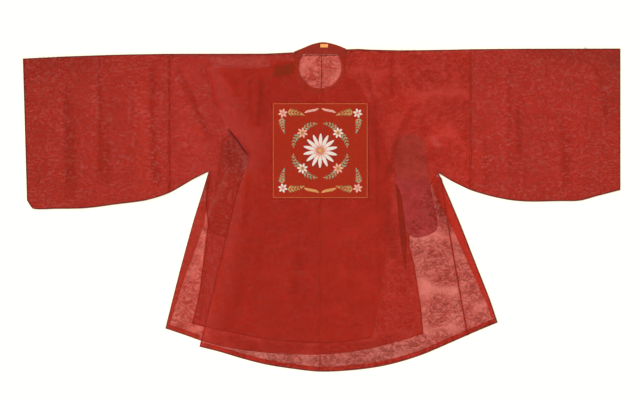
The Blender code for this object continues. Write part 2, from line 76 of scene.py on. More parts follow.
# Neck, collar and badge
NECK_CENTRE = (-0.006, 0.583)
NECK_RADIUS = 0.089
NECK_BACK = 0.635
COLLAR_BAND = 0.020
COLLAR_PEAK = 0.6865
COLLAR_WALL = 0.0016
COLLAR_DIRECTIONS = 144
COLLAR_ROWS = 9
BADGE_LEFT = -0.204
BADGE_BOTTOM = 0.035
BADGE_SIDE = 0.398
COLLAR_LEFT = NECK_CENTRE[0] - NECK_RADIUS - COLLAR_BAND
COLLAR_RIGHT = NECK_CENTRE[0] + NECK_RADIUS + COLLAR_BAND

# Patterns: woven clouds in millimetres, and the lines of the floss in metres
CLOUD_SPACING = 84.0
CURL_SIZE = 15.0
FLOSS_PITCH = 0.0022

# Edges of the cut, as (x, y) points that a smooth line passes through
SHOULDER_LEFT = ((-1.245, 0.618), (-1.063, 0.627), (-0.863, 0.634), (-0.638, 0.638), (-0.229, 0.639),
                 (-0.104, 0.645))
SHOULDER_RIGHT = ((0.100, 0.656), (0.154, 0.658), (0.204, 0.655), (0.329, 0.652), (0.621, 0.657),
                  (0.830, 0.659), (1.245, 0.660))
UNDER_SLEEVE_LEFT = ((-1.227, 0.026), (-1.206, -0.006), (-1.097, -0.008), (-0.980, -0.005), (-0.863, 0.010),
                     (-0.730, 0.028), (-0.638, 0.057), (-0.530, 0.118), ARMPIT_LEFT)
UNDER_SLEEVE_RIGHT = (ARMPIT_RIGHT, (0.538, 0.110), (0.621, 0.070), (0.671, 0.054), (0.738, 0.037),
                      (0.805, 0.026), (0.872, 0.022), (0.988, 0.024), (1.076, 0.026), (1.151, 0.046),
                      (1.245, 0.070))
BACK_SIDE_LEFT = (ARMPIT_LEFT, (-0.496, 0.064), (-0.530, -0.045), (-0.596, -0.286), (-0.651, -0.507))
BACK_HEM = ((-0.651, -0.507), (-0.563, -0.537), (-0.505, -0.558), (-0.404, -0.585), (-0.234, -0.608),
            (CENTRE_BACK, -0.616), (0.163, -0.599), (0.296, -0.568), (0.425, -0.530))
BACK_SIDE_RIGHT = ((0.425, -0.530), (0.416, -0.428), (0.386, -0.236), (0.367, -0.153), (0.375, -0.078),
                   (0.430, 0.047), ARMPIT_RIGHT)
INNER_SIDE = (ARMPIT_LEFT, (-0.484, 0.010), (-0.475, -0.074), (-0.484, -0.141), (-0.513, -0.374),
              (-0.540, -0.487))
INNER_HEM = ((-0.540, -0.487), (-0.492, -0.500), (-0.234, -0.552), (-0.120, -0.563),
             (CENTRE_FRONT, -0.569), (0.100, -0.562), (0.213, -0.545))
INNER_FREE_EDGE = ((0.213, -0.545), (0.270, -0.200), (0.285, 0.026), (0.272, 0.235), (0.215, 0.402),
                   (0.150, 0.510), (0.081, 0.566))
OUTER_ARMHOLE = ((-0.480, 0.581), (-0.455, 0.477), (-0.396, 0.331), (-0.346, 0.264), (-0.309, 0.210),
                 (-0.311, 0.181), (-0.325, 0.156))
OUTER_FREE_CORNER = (-0.509, -0.583)
OVERLAP_SIDE = (OUTER_ARMHOLE[-1], (-0.360, 0.040), (-0.426, -0.240), OUTER_FREE_CORNER)
OUTER_HEM = (OUTER_FREE_CORNER, (-0.430, -0.603), (-0.329, -0.633), (-0.229, -0.658), (-0.129, -0.674),
             (CENTRE_FRONT, -0.687), (0.138, -0.680), (0.271, -0.660), (0.404, -0.622), (0.538, -0.566),
             (0.638, -0.522), (0.734, -0.482))
OUTER_SIDE = ((0.734, -0.482), (0.705, -0.395), (0.638, -0.224), (0.571, -0.053), (0.505, 0.101),
              ARMPIT_RIGHT)
FLAP_SEAM = ((0.494, 0.120), (0.520, -0.053), (0.600, -0.510), (0.607, -0.5366))
PATCH_RIGHT = ((0.304, 0.235), (0.325, 0.285), (0.371, 0.304), (0.421, 0.285), (0.446, 0.139),
               (0.463, 0.035), (0.480, -0.097), (0.384, -0.128), (0.336, -0.080), (0.313, 0.080))
PATCH_MIDDLE = 0.006

# Strips turned to the inside: width by the part of the line passed; the back's side facing runs down
# from the armpit, and the flap's runs up to it
HEM_FACING = ((0.0, 0.020), (1.0, 0.020))
SIDE_FACING = ((0.00, 0.030), (0.20, 0.047), (0.45, 0.036), (0.65, 0.025), (1.00, 0.014))
FLAP_FACING = ((0.00, 0.014), (0.30, 0.024), (0.48, 0.030), (0.58, 0.034), (0.71, 0.041), (0.81, 0.045),
               (0.90, 0.050), (1.00, 0.040))
SIDE_FACING_LINE = ((-0.507, 0.030), (-0.530, -0.045), (-0.596, -0.286), (-0.647, -0.485))
FLAP_FACING_LINE = ((0.724, -0.460), (0.705, -0.397), (0.638, -0.226), (0.571, -0.055), (0.515, 0.075),
                    (0.4915, 0.129))
# The back's turned edge is drawn dark brown, as painted shadow of the fold along it
TURNED_BACK = ((0.00, 0.006), (0.15, 0.022), (0.65, 0.026), (1.00, 0.004))
TURNED_BACK_LINE = ((0.308, 0.095), (0.316, 0.000), (0.324, -0.090), (0.333, -0.165), (0.346, -0.260))
TURNED_INNER = ((0.00, 0.006), (0.45, 0.012), (0.75, 0.020), (1.00, 0.028))

# Soft folds that the solids have too: a ridge from head to foot, its height and half its width
FOLDS = (
    (-1.050, 0.570, -1.070, 0.040, 0.0050, 0.060),
    (-0.915, 0.600, -0.925, 0.060, 0.0060, 0.070),
    (-0.720, 0.600, -0.705, 0.080, 0.0050, 0.060),
    (-0.560, 0.560, -0.545, 0.170, 0.0060, 0.060),
    (-0.262, 0.520, -0.265, 0.300, 0.0060, 0.050),
    (0.228, 0.500, 0.222, 0.350, 0.0045, 0.050),
    (0.290, 0.620, 0.300, 0.420, 0.0040, 0.050),
    (0.450, 0.500, 0.345, 0.300, 0.0060, 0.060),
    (0.560, 0.560, 0.470, 0.220, 0.0050, 0.060),
    (0.690, 0.330, 0.690, 0.090, 0.0060, 0.060),
    (0.800, 0.610, 0.810, 0.100, 0.0060, 0.065),
    (1.000, 0.600, 0.995, 0.080, 0.0055, 0.065),
    (1.140, 0.590, 1.180, 0.330, 0.0060, 0.060),
    (-0.120, -0.150, -0.150, -0.520, 0.0045, 0.070),
    (0.120, -0.100, 0.160, -0.520, 0.0045, 0.070),
    (-0.330, -0.080, -0.400, -0.500, 0.0045, 0.060),
    (0.440, -0.200, 0.480, -0.470, 0.0035, 0.060),
)

# Pressed creases, finer than the folds: the line they follow, then height, half width, and how
# much closer the threads lie along them; above 0 this also darkens the threads, which along the
# creases is painted shade
CREASES = (
    # left sleeve, from the cuff inwards
    (((-1.063, 0.540), (-1.059, 0.280), (-1.063, 0.020)), 0.0012, 0.014, 0.55),
    (((-1.040, 0.360), (-1.034, 0.020)), 0.0010, 0.010, 0.40),
    (((-0.926, 0.590), (-0.922, 0.080)), 0.0010, 0.009, 0.50),
    (((-0.900, 0.280), (-0.892, 0.070)), 0.0008, 0.012, 0.30),
    (((-0.705, 0.614), (-0.709, 0.360), (-0.697, 0.070)), 0.0010, 0.012, 0.55),
    (((-0.684, 0.170), (-0.682, 0.090)), 0.0008, 0.016, 0.50),
    (((-0.617, 0.600), (-0.538, 0.443), (-0.492, 0.339), (-0.450, 0.264)), 0.0014, 0.012, 0.50),
    (((-0.475, 0.577), (-0.450, 0.472), (-0.417, 0.393)), 0.0010, 0.010, 0.40),
    (((-0.425, 0.590), (-0.359, 0.497), (-0.338, 0.443)), 0.0012, 0.014, 0.45),
    # left armpit and chest
    # the lifted armhole edge of the overlap: painted shadow under it, drawn as a crease
    (((-0.396, 0.327), (-0.350, 0.281), (-0.309, 0.231), (-0.304, 0.176)), 0.0020, 0.007, 0.50),
    (((-0.388, 0.289), (-0.384, 0.172)), 0.0012, 0.008, 0.70),
    (((-0.300, 0.547), (-0.300, 0.422), (-0.288, 0.314)), 0.0010, 0.007, 0.60),
    (((-0.254, 0.547), (-0.258, 0.422), (-0.271, 0.314)), 0.0012, 0.009, 0.80),
    (((-0.304, 0.172), (-0.313, 0.026), (-0.325, -0.099)), 0.0010, 0.012, 0.35),
    # chest right of the badge
    (((0.171, 0.614), (0.221, 0.431), (0.234, 0.229), (0.229, -0.090)), 0.0010, 0.008, 0.50),
    (((0.200, 0.464), (0.217, 0.276), (0.246, 0.151)), 0.0009, 0.008, 0.45),
    (((0.292, 0.640), (0.292, 0.443)), 0.0010, 0.008, 0.60),
    (((0.432, 0.443), (0.371, 0.399), (0.321, 0.301), (0.300, 0.210), (0.250, 0.080)), 0.0016, 0.009, 0.75),
    (((0.438, 0.393), (0.404, 0.339)), 0.0010, 0.008, 0.40),
    (((0.425, 0.356), (0.450, 0.270), (0.475, 0.185)), 0.0010, 0.018, 0.35),
    # right sleeve
    (((0.680, 0.301), (0.684, 0.051)), 0.0010, 0.008, 0.55),
    (((0.780, 0.614), (0.784, 0.118)), 0.0010, 0.009, 0.50),
    (((0.817, 0.443), (0.821, 0.193)), 0.0010, 0.011, 0.55),
    (((1.001, 0.406), (1.009, 0.039)), 0.0010, 0.011, 0.50),
    (((1.022, 0.318), (1.026, 0.068)), 0.0008, 0.010, 0.40),
    (((1.126, 0.614), (1.163, 0.523), (1.188, 0.352)), 0.0012, 0.008, 0.45),
    (((0.634, 0.385), (0.900, 0.380), (1.240, 0.387)), 0.0006, 0.012, 0.20),
    # cloth drawn thin: left shoulder, beside the left armpit, and beside the right one
    (((-0.475, 0.604), (-0.215, 0.604)), 0.0, 0.022, -0.25),
    (((-0.384, 0.170), (-0.413, 0.089), (-0.455, 0.005), (-0.486, -0.070)), 0.0010, 0.012, -0.40),
    (((0.455, 0.300), (0.470, 0.262), (0.500, 0.250)), 0.0010, 0.014, -0.45),
    (((-0.314, 0.228), (-0.318, 0.185), (-0.332, 0.135)), 0.0006, 0.006, -0.90),
    # cloth drawn close at both armpits, along both flaps and beside the right patch
    (((-0.474, 0.150), (-0.486, 0.060), (-0.500, -0.040)), 0.0, 0.018, 0.95),
    (((0.486, 0.140), (0.480, 0.060), (0.498, -0.060)), 0.0, 0.018, 0.95),
    (((-0.545, -0.080), (-0.600, -0.480)), 0.0, 0.045, 0.10),
    (((0.500, 0.000), (0.560, -0.260)), 0.0, 0.030, 0.35),
    (((0.262, 0.060), (0.300, -0.240)), 0.0, 0.024, 0.60),
    # two layers of the left side and above the back hem, where they hardly show as fewer
    (((-0.420, 0.020), (-0.470, -0.250), (-0.520, -0.520)), 0.0, 0.034, 0.15),
    (((-0.500, -0.535), (-0.240, -0.582), (0.000, -0.594), (0.200, -0.573), (0.400, -0.525)),
     0.0, 0.020, 0.30),
    # skirt
    (((0.229, -0.090), (0.254, -0.390)), 0.0008, 0.009, 0.25),
    (((0.100, -0.100), (0.121, -0.474)), 0.0008, 0.012, 0.20),
    (((-0.088, -0.036), (-0.121, -0.390)), 0.0008, 0.012, 0.20),
    (((-0.246, -0.100), (-0.296, -0.474)), 0.0008, 0.012, 0.20),
    (((-0.400, -0.140), (-0.450, -0.474)), 0.0008, 0.010, 0.25),
    (((0.392, -0.180), (0.470, -0.205), (0.540, -0.190)), 0.0010, 0.012, 0.25),
    (((0.405, -0.290), (0.480, -0.310), (0.575, -0.285)), 0.0010, 0.014, 0.25),
    (((0.430, -0.420), (0.520, -0.400), (0.640, -0.430)), 0.0010, 0.012, 0.20),
)

# Broad areas of paler (above 0) or darker silk: the line they follow, half the width, how much
FADED = (
    (((-1.240, 0.605), (-0.960, 0.618)), 0.075, -0.11),
    (((-1.235, 0.520), (-1.220, 0.100)), 0.090, -0.05),
    (((-0.720, 0.420), (-0.700, 0.080)), 0.070, 0.07),
    (((-0.570, 0.540), (-0.530, 0.200)), 0.070, 0.06),
    (((0.340, 0.420), (0.500, 0.280)), 0.070, 0.07),
    (((0.660, 0.150), (0.800, 0.420)), 0.110, 0.08),
    (((1.020, 0.130), (1.040, 0.420)), 0.060, 0.07),
    (((0.900, 0.660), (1.245, 0.620)), 0.050, -0.11),
    (((1.230, 0.600), (1.235, 0.420)), 0.045, -0.08),
    (((-0.450, -0.600), (0.000, -0.655), (0.450, -0.600)), 0.035, -0.08),
    (((-0.420, 0.020), (-0.520, -0.520)), 0.050, 0.05),
)

# Light and view
SKY_STRENGTH = 0.95
LAMP_STRENGTH = 1.9
LAMP_FROM = (-0.75, 0.35, 0.62)
VIEW_CENTRE = (-0.0063, 0.0284)
VIEW_WIDTH = 2.669


def colour(code):
    """An sRGB hex colour as linear values."""
    linear = []
    for k in (1, 3, 5):
        value = int(code[k:k + 2], 16) / 255
        linear.append(value / 12.92 if value <= 0.04045 else ((value + 0.055) / 1.055) ** 2.4)
    return (*linear, 1.0)


# Lines and outlines -----------------------------------------------------------------------------

def smooth_line(points, spacing=0.012):
    """A smooth line through the points, sampled about every spacing; short parts beside long ones
    don't overshoot, as the slope at a point leans towards the shorter part."""
    chords = [math.dist(a, b) for a, b in zip(points, points[1:])]
    slopes = [[(d - c) / chord for c, d in zip(a, b)] for a, b, chord in zip(points, points[1:], chords)]
    tangents = [slopes[0]]
    for k in range(1, len(chords)):
        share = chords[k] / (chords[k - 1] + chords[k])
        tangents.append([a * share + b * (1.0 - share) for a, b in zip(slopes[k - 1], slopes[k])])
    tangents.append(slopes[-1])
    line = []
    for k, chord in enumerate(chords):
        steps = max(1, round(chord / spacing))
        for j in range(steps):
            t = j / steps
            rise = t * t * (3.0 - 2.0 * t)
            leave = min(chord, chords[max(k - 1, 0)]) * t * (1.0 - t) ** 2
            arrive = -min(chord, chords[min(k + 1, len(chords) - 1)]) * t * t * (1.0 - t)
            line.append(tuple(
                a + (b - a) * rise + u * leave + v * arrive
                for a, b, u, v in zip(points[k], points[k + 1], tangents[k], tangents[k + 1])))
    line.append(tuple(points[-1]))
    return line


def along(points, x):
    """Height y of a line of points, which runs towards +X, at x."""
    for (x0, y0), (x1, y1) in zip(points, points[1:]):
        if x <= x1:
            break
    part = min(max((x - x0) / (x1 - x0), 0.0), 1.0)
    return y0 + (y1 - y0) * part


def arc(centre, radius, start, end, steps):
    """Points of a circle's arc, angles in degrees."""
    points = []
    for k in range(steps + 1):
        angle = math.radians(start + (end - start) * k / steps)
        points.append((centre[0] + radius * math.cos(angle), centre[1] + radius * math.sin(angle)))
    return points


def reversed_line(points):
    return list(reversed(points))


def from_x(points, low=-FAR, high=FAR):
    """The part of a line between two values of x, cut exactly there."""
    cut = []
    for (x0, y0), (x1, y1) in zip(points, points[1:]):
        for edge in sorted((low, high), reverse=x1 < x0):
            if min(x0, x1) < edge < max(x0, x1):
                cut.append((edge, y0 + (y1 - y0) * (edge - x0) / (x1 - x0)))
        if low <= x1 <= high:
            cut.append((x1, y1))
    if low <= points[0][0] <= high:
        cut.insert(0, points[0])
    return cut


def drop(points, inset):
    """A line moved towards -Y."""
    return [(x, y - inset) for x, y in points]


def neck_line(start, end, extra=SEAM):
    """Front neckline, sewn to the outside of the collar band."""
    return arc(NECK_CENTRE, NECK_RADIUS + COLLAR_BAND + extra, start, end, round((end - start) / 4))


# How high the cloth lies; x and y are arrays ----------------------------------------------------

def ease(value):
    """0 below 0, 1 above 1, and a soft slope between."""
    value = np.clip(value, 0.0, 1.0)
    return value * value * (3.0 - 2.0 * value)


def distance_and_part(points, x, y):
    """Shortest distance from places to a line of points, and the part of its length passed there."""
    best = np.full(x.shape, FAR)
    part_there = np.zeros(x.shape)
    lengths = [math.dist(a, b) for a, b in zip(points, points[1:])]
    total = sum(lengths)
    passed = 0.0
    for (x0, y0), (x1, y1), length in zip(points, points[1:], lengths):
        dx = x1 - x0
        dy = y1 - y0
        part = np.clip(((x - x0) * dx + (y - y0) * dy) / (length * length), 0.0, 1.0)
        away = np.hypot(x - x0 - dx * part, y - y0 - dy * part)
        nearer = away < best
        best = np.where(nearer, away, best)
        part_there = np.where(nearer, (passed + part * length) / total, part_there)
        passed += length
    return best, part_there


def distance_to(points, x, y):
    return distance_and_part(points, x, y)[0]


def folds(x, y):
    """Height of the soft folds and of the pressed creases; both fade out at their ends."""
    height = np.zeros(x.shape)
    for head_x, head_y, foot_x, foot_y, rise, half_width in FOLDS:
        dx = foot_x - head_x
        dy = foot_y - head_y
        part = ((x - head_x) * dx + (y - head_y) * dy) / (dx * dx + dy * dy)
        away = np.hypot(x - head_x - dx * part, y - head_y - dy * part) / half_width
        fade = ease(4.0 * np.minimum(part, 1.0 - part))
        height += rise * fade * (0.5 + 0.5 * np.cos(math.pi * np.minimum(away, 1.0)))
    for line, rise, half_width, _ in CREASES:
        away, part = distance_and_part(line, x, y)
        fade = ease(6.0 * np.minimum(part, 1.0 - part))
        height += rise * fade * np.exp(-(away / half_width) ** 2)
    return height


def closeness(x, y):
    """How close the threads lie along the pressed creases, and their painted shade; below 0 where they are
    drawn apart.
    """
    total = np.zeros(x.shape)
    for line, _, half_width, density_and_shade in CREASES:
        away, part = distance_and_part(line, x, y)
        fade = ease(6.0 * np.minimum(part, 1.0 - part))
        total += density_and_shade * fade * np.exp(-(away / half_width) ** 2)
    return np.clip(total, -1.0, 1.2)


def fading(x, y):
    """How much paler the silk is in its broad areas."""
    total = np.zeros(x.shape)
    for line, half_width, amount in FADED:
        total += amount * np.exp(-(distance_to(line, x, y) / half_width) ** 2)
    return total


def seam_closeness(line, x, y):
    """1 on an underarm seam, where front and back meet, and 0 a hand's breadth away."""
    return 1.0 - ease(distance_to(line, x, y) / 0.060)


def on_floor(x, y):
    """The back: flat on the surface, with a slight ripple where its flap lies bare."""
    bare = ease((-0.500 - x) / 0.040) * ease((0.050 - y) / 0.100)
    return ON_FLOOR + 0.0006 * bare * (1.0 + np.sin(60.0 * y + 25.0 * x) * np.sin(31.0 * x - 9.0 * y))


def on_back(x, y):
    return np.full(x.shape, ON_BACK)


def inner_level(x, y):
    return np.full(x.shape, INNER)


def inner_height(x, y):
    """The inner front: free folds only where the outer overlap leaves it bare."""
    bare = ease((ARMPIT_LEFT[0] - 0.030 - x) / 0.060)
    seam = seam_closeness(UNDER_SLEEVE_LEFT, x, y) * bare
    return INNER - (INNER - ON_BACK) * seam + folds(x, y) * bare * (1.0 - seam)


def outer_height(x, y):
    """The outer front: over the inner layers in the middle, down on the surface at side and hem."""
    to_side = ease((x - 0.330) / 0.120)
    below_armpit = ease((ARMPIT_RIGHT[1] - 0.020 - y) / 0.160)
    side_level = INNER - (INNER - ON_BACK) * below_armpit
    level = OUTER + (side_level - OUTER) * to_side
    from_hem = ease((distance_to(OUTER_HEM, x, y) - 0.026) / 0.044)
    level = ON_BACK + (level - ON_BACK) * from_hem
    seam = seam_closeness(UNDER_SLEEVE_RIGHT, x, y) * ease((x - ARMPIT_RIGHT[0] - 0.030) / 0.060)
    level = ON_BACK + (level - ON_BACK) * (1.0 - seam)
    calm = ease((distance_to(OUTER_HEM, x, y) - 0.050) / 0.080)
    return level + folds(x, y) * calm


def under_outer(x, y):
    return outer_height(x, y) - REST


def on_outer(x, y):
    return outer_height(x, y) + REST


def above(height, lift):
    """The same surface, lifted."""
    return lambda x, y: height(x, y) + lift


def on_top(x, y):
    """Just above the sleeves, and above the shoulders between them."""
    shoulder = np.where(x < 0.0, inner_height(x, y), outer_height(x, y))
    between_seams = (x > SEAM_LEFT) & (x < SEAM_RIGHT)
    return np.where(between_seams, shoulder, INNER) + GAUZE + 0.0002


def in_sleeve(x, y):
    """Close below the upper cloth of a sleeve."""
    return np.full(x.shape, INNER - 0.0008)


def collar_height(x, y):
    """Level with the outer front, down on to the back at the shoulder, and on the surface behind it."""
    to_back = ease((y - NECK_CENTRE[1]) / (NECK_BACK - NECK_CENTRE[1]))
    behind = np.clip((y - NECK_BACK) / (COLLAR_PEAK - NECK_BACK), 0.0, 1.0)
    return (OUTER + (ON_BACK - OUTER) * to_back) * (1.0 - behind)


# Materials --------------------------------------------------------------------------------------

def add_node(tree, kind, inputs, **settings):
    """A node with its settings; each input is a plain value or another node's output."""
    made = tree.nodes.new(kind)
    for name, value in settings.items():
        setattr(made, name, value)
    for socket, value in inputs.items():
        if isinstance(value, bpy.types.NodeSocket):
            tree.links.new(value, made.inputs[socket])
        else:
            made.inputs[socket].default_value = value
    return made


def new_material(name):
    material = bpy.data.materials.new(name)
    material.use_nodes = True
    tree = material.node_tree
    tree.nodes.clear()
    return material, tree


def millimetres(tree, across, down):
    """Object coordinates, so that one unit of the pattern is across by down millimetres."""
    place = add_node(tree, "ShaderNodeTexCoord", {})
    return add_node(tree, "ShaderNodeMapping",
                    {"Vector": place.outputs["Object"], "Scale": (1000 / across, 1000 / down, 1000 / across)}
                    ).outputs["Vector"]


def uneven(tree, across, down, detail=2.0, roughness=0.5):
    """An uneven pattern from 0 to 1, with spots across by down millimetres."""
    return add_node(tree, "ShaderNodeTexNoise",
                    {"Vector": millimetres(tree, across, down), "Scale": 1.0, "Detail": detail,
                     "Roughness": roughness}).outputs["Fac"]


def weighted(tree, start, *pairs, middle=0.5):
    """start plus each pattern, taken about its middle value, times its weight."""
    total = start
    for pattern, weight in pairs:
        if middle:
            pattern = add_node(tree, "ShaderNodeMath", {0: pattern, 1: middle},
                               operation="SUBTRACT").outputs[0]
        total = add_node(tree, "ShaderNodeMath", {0: pattern, 1: weight, 2: total},
                         operation="MULTIPLY_ADD").outputs[0]
    return total


def both(tree, one, other):
    """Where two patterns are high at once."""
    return add_node(tree, "ShaderNodeMath", {0: one, 1: other}, operation="MULTIPLY").outputs[0]


def between(tree, value, low, high):
    """0 where value is below low, 1 above high, and smooth between."""
    return add_node(tree, "ShaderNodeMapRange", {"Value": value, "From Min": low, "From Max": high},
                    interpolation_type="SMOOTHSTEP").outputs["Result"]


def toned(tree, tint, shade):
    """A colour made lighter or darker by a pattern."""
    return add_node(tree, "ShaderNodeVectorMath", {0: tint, "Scale": shade}, operation="SCALE").outputs[0]


def finish_material(tree, surface):
    add_node(tree, "ShaderNodeOutputMaterial", {"Surface": surface})


def cloud_damask(tree):
    """Woven clouds: soft-edged patches with gaps between, drawn in thin wandering curls."""
    level = add_node(tree, "ShaderNodeVectorMath",
                     {0: millimetres(tree, 1.4 * CURL_SIZE, CURL_SIZE), 1: (1.0, 1.0, 0.0)},
                     operation="MULTIPLY").outputs[0]
    drift = add_node(tree, "ShaderNodeTexNoise",
                     {"Vector": level, "Scale": 0.55, "Detail": 1.0}).outputs["Color"]
    wander = add_node(tree, "ShaderNodeVectorMath", {0: drift, 1: (2.6, 2.6, 0.0), 2: level},
                      operation="MULTIPLY_ADD").outputs[0]
    contour = add_node(tree, "ShaderNodeTexNoise",
                       {"Vector": wander, "Scale": 1.0, "Detail": 1.5}).outputs["Fac"]
    away = add_node(tree, "ShaderNodeMath", {0: contour, 1: 0.5}, operation="SUBTRACT").outputs[0]
    away = add_node(tree, "ShaderNodeMath", {0: away}, operation="ABSOLUTE").outputs[0]
    line = between(tree, away, 0.130, 0.000)
    centres = add_node(tree, "ShaderNodeTexVoronoi",
                       {"Vector": wander, "Scale": CURL_SIZE / CLOUD_SPACING, "Randomness": 0.8},
                       voronoi_dimensions="2D")
    patch = between(tree, centres.outputs["Distance"], 0.95, 0.30)
    return both(tree, patch, weighted(tree, 0.25, (line, 0.75), middle=0.0))


def gauze_material(name, lit, through, cover, damask=0.0, fleck=0.0, calm=0.2, roughness=0.62, grain=0.15):
    """Silk gauze: an open weave of fine twisted threads with a damask of clouds.

    lit is what the threads send back, through what they let glow from behind, and cover the share
    of each wall that is thread.  The clouds are woven closer, so they hide more of what lies below.
    Fleck is how much paler silk shows in specks and short weft streaks: partly silk paled by wear,
    partly painted highlights, glints on the thread ridges.  Calm is the part of both that is left
    where the cloth lies on another one and no light comes from below.
    Grain is how uneven the twisted threads look.  They are about 0.4 mm apart, far too fine to
    show, so slubs, specks and streaks are drawn much coarser, 5 to 46 mm long.
    """
    material, tree = new_material(name)
    weft = uneven(tree, 46, 5.5, 3.0, 0.6)
    warp = uneven(tree, 5.0, 38, 3.0, 0.6)
    speck = uneven(tree, 10, 8, 1.0, 0.6)
    cloud = uneven(tree, 190, 150, 3.0, 0.55)
    motif = cloud_damask(tree)
    crease = add_node(tree, "ShaderNodeAttribute", {}, attribute_name="creased").outputs["Fac"]
    alone = add_node(tree, "ShaderNodeAttribute", {}, attribute_name="alone").outputs["Fac"]
    faded = add_node(tree, "ShaderNodeAttribute", {}, attribute_name="faded").outputs["Fac"]

    # pale flecks: partly silk paled by wear, partly painted highlights standing for glints on thread ridges
    streak = between(tree, uneven(tree, 15, 7.5, 1.0, 0.5), 0.50, 0.64)
    wear_and_glint = between(tree, uneven(tree, 80, 52, 3.0, 0.6), 0.26, 0.60)
    pale = weighted(tree, both(tree, streak, wear_and_glint), (cloud, 0.06))
    shown = weighted(tree, calm, (alone, 1.0 - calm), middle=0.0)
    pale = add_node(tree, "ShaderNodeMath", {0: both(tree, pale, shown), 1: fleck}, operation="MULTIPLY",
                    use_clamp=True).outputs[0]
    drawn_apart = add_node(tree, "ShaderNodeMath", {0: crease, 1: -0.35}, operation="MULTIPLY",
                           use_clamp=True).outputs[0]
    thread = add_node(tree, "ShaderNodeMix", {0: drawn_apart, 6: colour(lit), 7: colour("#CC8E88")},
                      data_type="RGBA").outputs[2]
    # the flecks' pale pink: wear of the silk and painted highlight
    thread = add_node(tree, "ShaderNodeMix", {0: pale, 6: thread, 7: colour("#F8A096")},
                      data_type="RGBA").outputs[2]

    woven = both(tree, motif, shown)
    # painted crease shade: the threads are darkened along the creases, besides lying closer
    pressed = add_node(tree, "ShaderNodeMath", {0: crease, 1: 0.22}, operation="MULTIPLY",
                       use_clamp=True).outputs[0]
    shade = weighted(tree, 1.0, (weft, 0.13), (warp, 0.10), (speck, grain), (cloud, 0.08))
    shade = weighted(tree, shade, (pressed, -1.0), (faded, 1.0), (woven, -1.25 * damask), middle=0.0)
    cover_here = weighted(tree, cover, (speck, 0.03), (weft, 0.06), (cloud, 0.08))
    cover_here = weighted(tree, cover_here, (pale, 0.08), (woven, 0.85 * damask), (crease, 0.15), middle=0.0)
    cover_here = add_node(tree, "ShaderNodeClamp", {"Value": cover_here, "Min": 0.05, "Max": 0.97}).outputs[0]

    relief = weighted(tree, 0.5, (weft, 0.5), (warp, 0.5), (speck, 0.3))
    bump = add_node(tree, "ShaderNodeBump",
                    {"Height": relief, "Strength": 0.06, "Distance": 0.0006}).outputs[0]
    threads = add_node(tree, "ShaderNodeBsdfPrincipled",
                       {"Base Color": toned(tree, thread, shade), "Normal": bump, "Roughness": roughness,
                        "Specular IOR Level": 0.06}).outputs[0]
    glow = add_node(tree, "ShaderNodeBsdfTranslucent",
                    {"Color": toned(tree, colour(through)[:3], shade)}).outputs[0]
    cloth = add_node(tree, "ShaderNodeMixShader", {0: 0.5, 1: threads, 2: glow}).outputs[0]
    gaps = add_node(tree, "ShaderNodeBsdfTransparent", {}).outputs[0]
    open_weave = add_node(tree, "ShaderNodeMixShader", {0: cover_here, 1: gaps, 2: cloth}).outputs[0]
    finish_material(tree, open_weave)
    return material


def floss_material(name, code):
    """Untwisted silk floss laid in satin stitch: smooth, with a soft shine and fine lines along the
    stitches.  Floss lies about 0.5 mm apart; the lines are drawn 2.2 mm apart so that they show."""
    material, tree = new_material(name)
    lay = add_node(tree, "ShaderNodeAttribute", {}, attribute_name="laid").outputs["Fac"]
    turns = add_node(tree, "ShaderNodeMath", {0: lay, 1: 2 * math.pi / FLOSS_PITCH},
                     operation="MULTIPLY").outputs[0]
    lines = add_node(tree, "ShaderNodeMath", {0: turns}, operation="SINE").outputs[0]
    shade = weighted(tree, 0.96, (lines, 0.09), middle=0.0)
    shade = weighted(tree, shade, (uneven(tree, 3.5, 3.5, 2.0, 0.6), 0.35))
    bump = add_node(tree, "ShaderNodeBump", {"Height": lines, "Strength": 0.3, "Distance": 0.0004}).outputs[0]
    silk = add_node(tree, "ShaderNodeBsdfPrincipled",
                    {"Base Color": toned(tree, colour(code)[:3], shade), "Normal": bump,
                     "Roughness": 0.38, "Specular IOR Level": 0.3, "Sheen Weight": 0.25}).outputs[0]
    finish_material(tree, silk)
    return material


def plain_silk(name, code, centre=(0.0, 0.0), reach=(8.0, 9.0), around=None, wear=0.3):
    """Close tabby-woven silk: matt, faintly ribbed across, rubbed paler in places, and passing to
    the colour around at a reach from a centre.  The ribs are drawn several threads wide."""
    material, tree = new_material(name)
    rib = uneven(tree, 26, 3.5, 2.0, 0.6)
    grain = uneven(tree, 3.5, 18, 2.0, 0.6)
    rub = uneven(tree, 60, 60, 3.0, 0.6)
    shade = weighted(tree, 1.0, (rib, 0.6), (grain, 0.6), (rub, wear))
    place = add_node(tree, "ShaderNodeTexCoord", {}).outputs["Object"]
    away = add_node(tree, "ShaderNodeVectorMath", {0: place, 1: (*centre, 0.0)}, operation="DISTANCE")
    passed = between(tree, away.outputs["Value"], *reach)
    dye = add_node(tree, "ShaderNodeMix", {0: passed, 6: colour(code), 7: colour(around or code)},
                   data_type="RGBA").outputs[2]
    bump = add_node(tree, "ShaderNodeBump", {"Height": rib, "Strength": 0.3, "Distance": 0.0004}).outputs[0]
    silk = add_node(tree, "ShaderNodeBsdfPrincipled",
                    {"Base Color": toned(tree, dye, shade), "Normal": bump, "Roughness": 0.55,
                     "Specular IOR Level": 0.1}).outputs[0]
    finish_material(tree, silk)
    return material


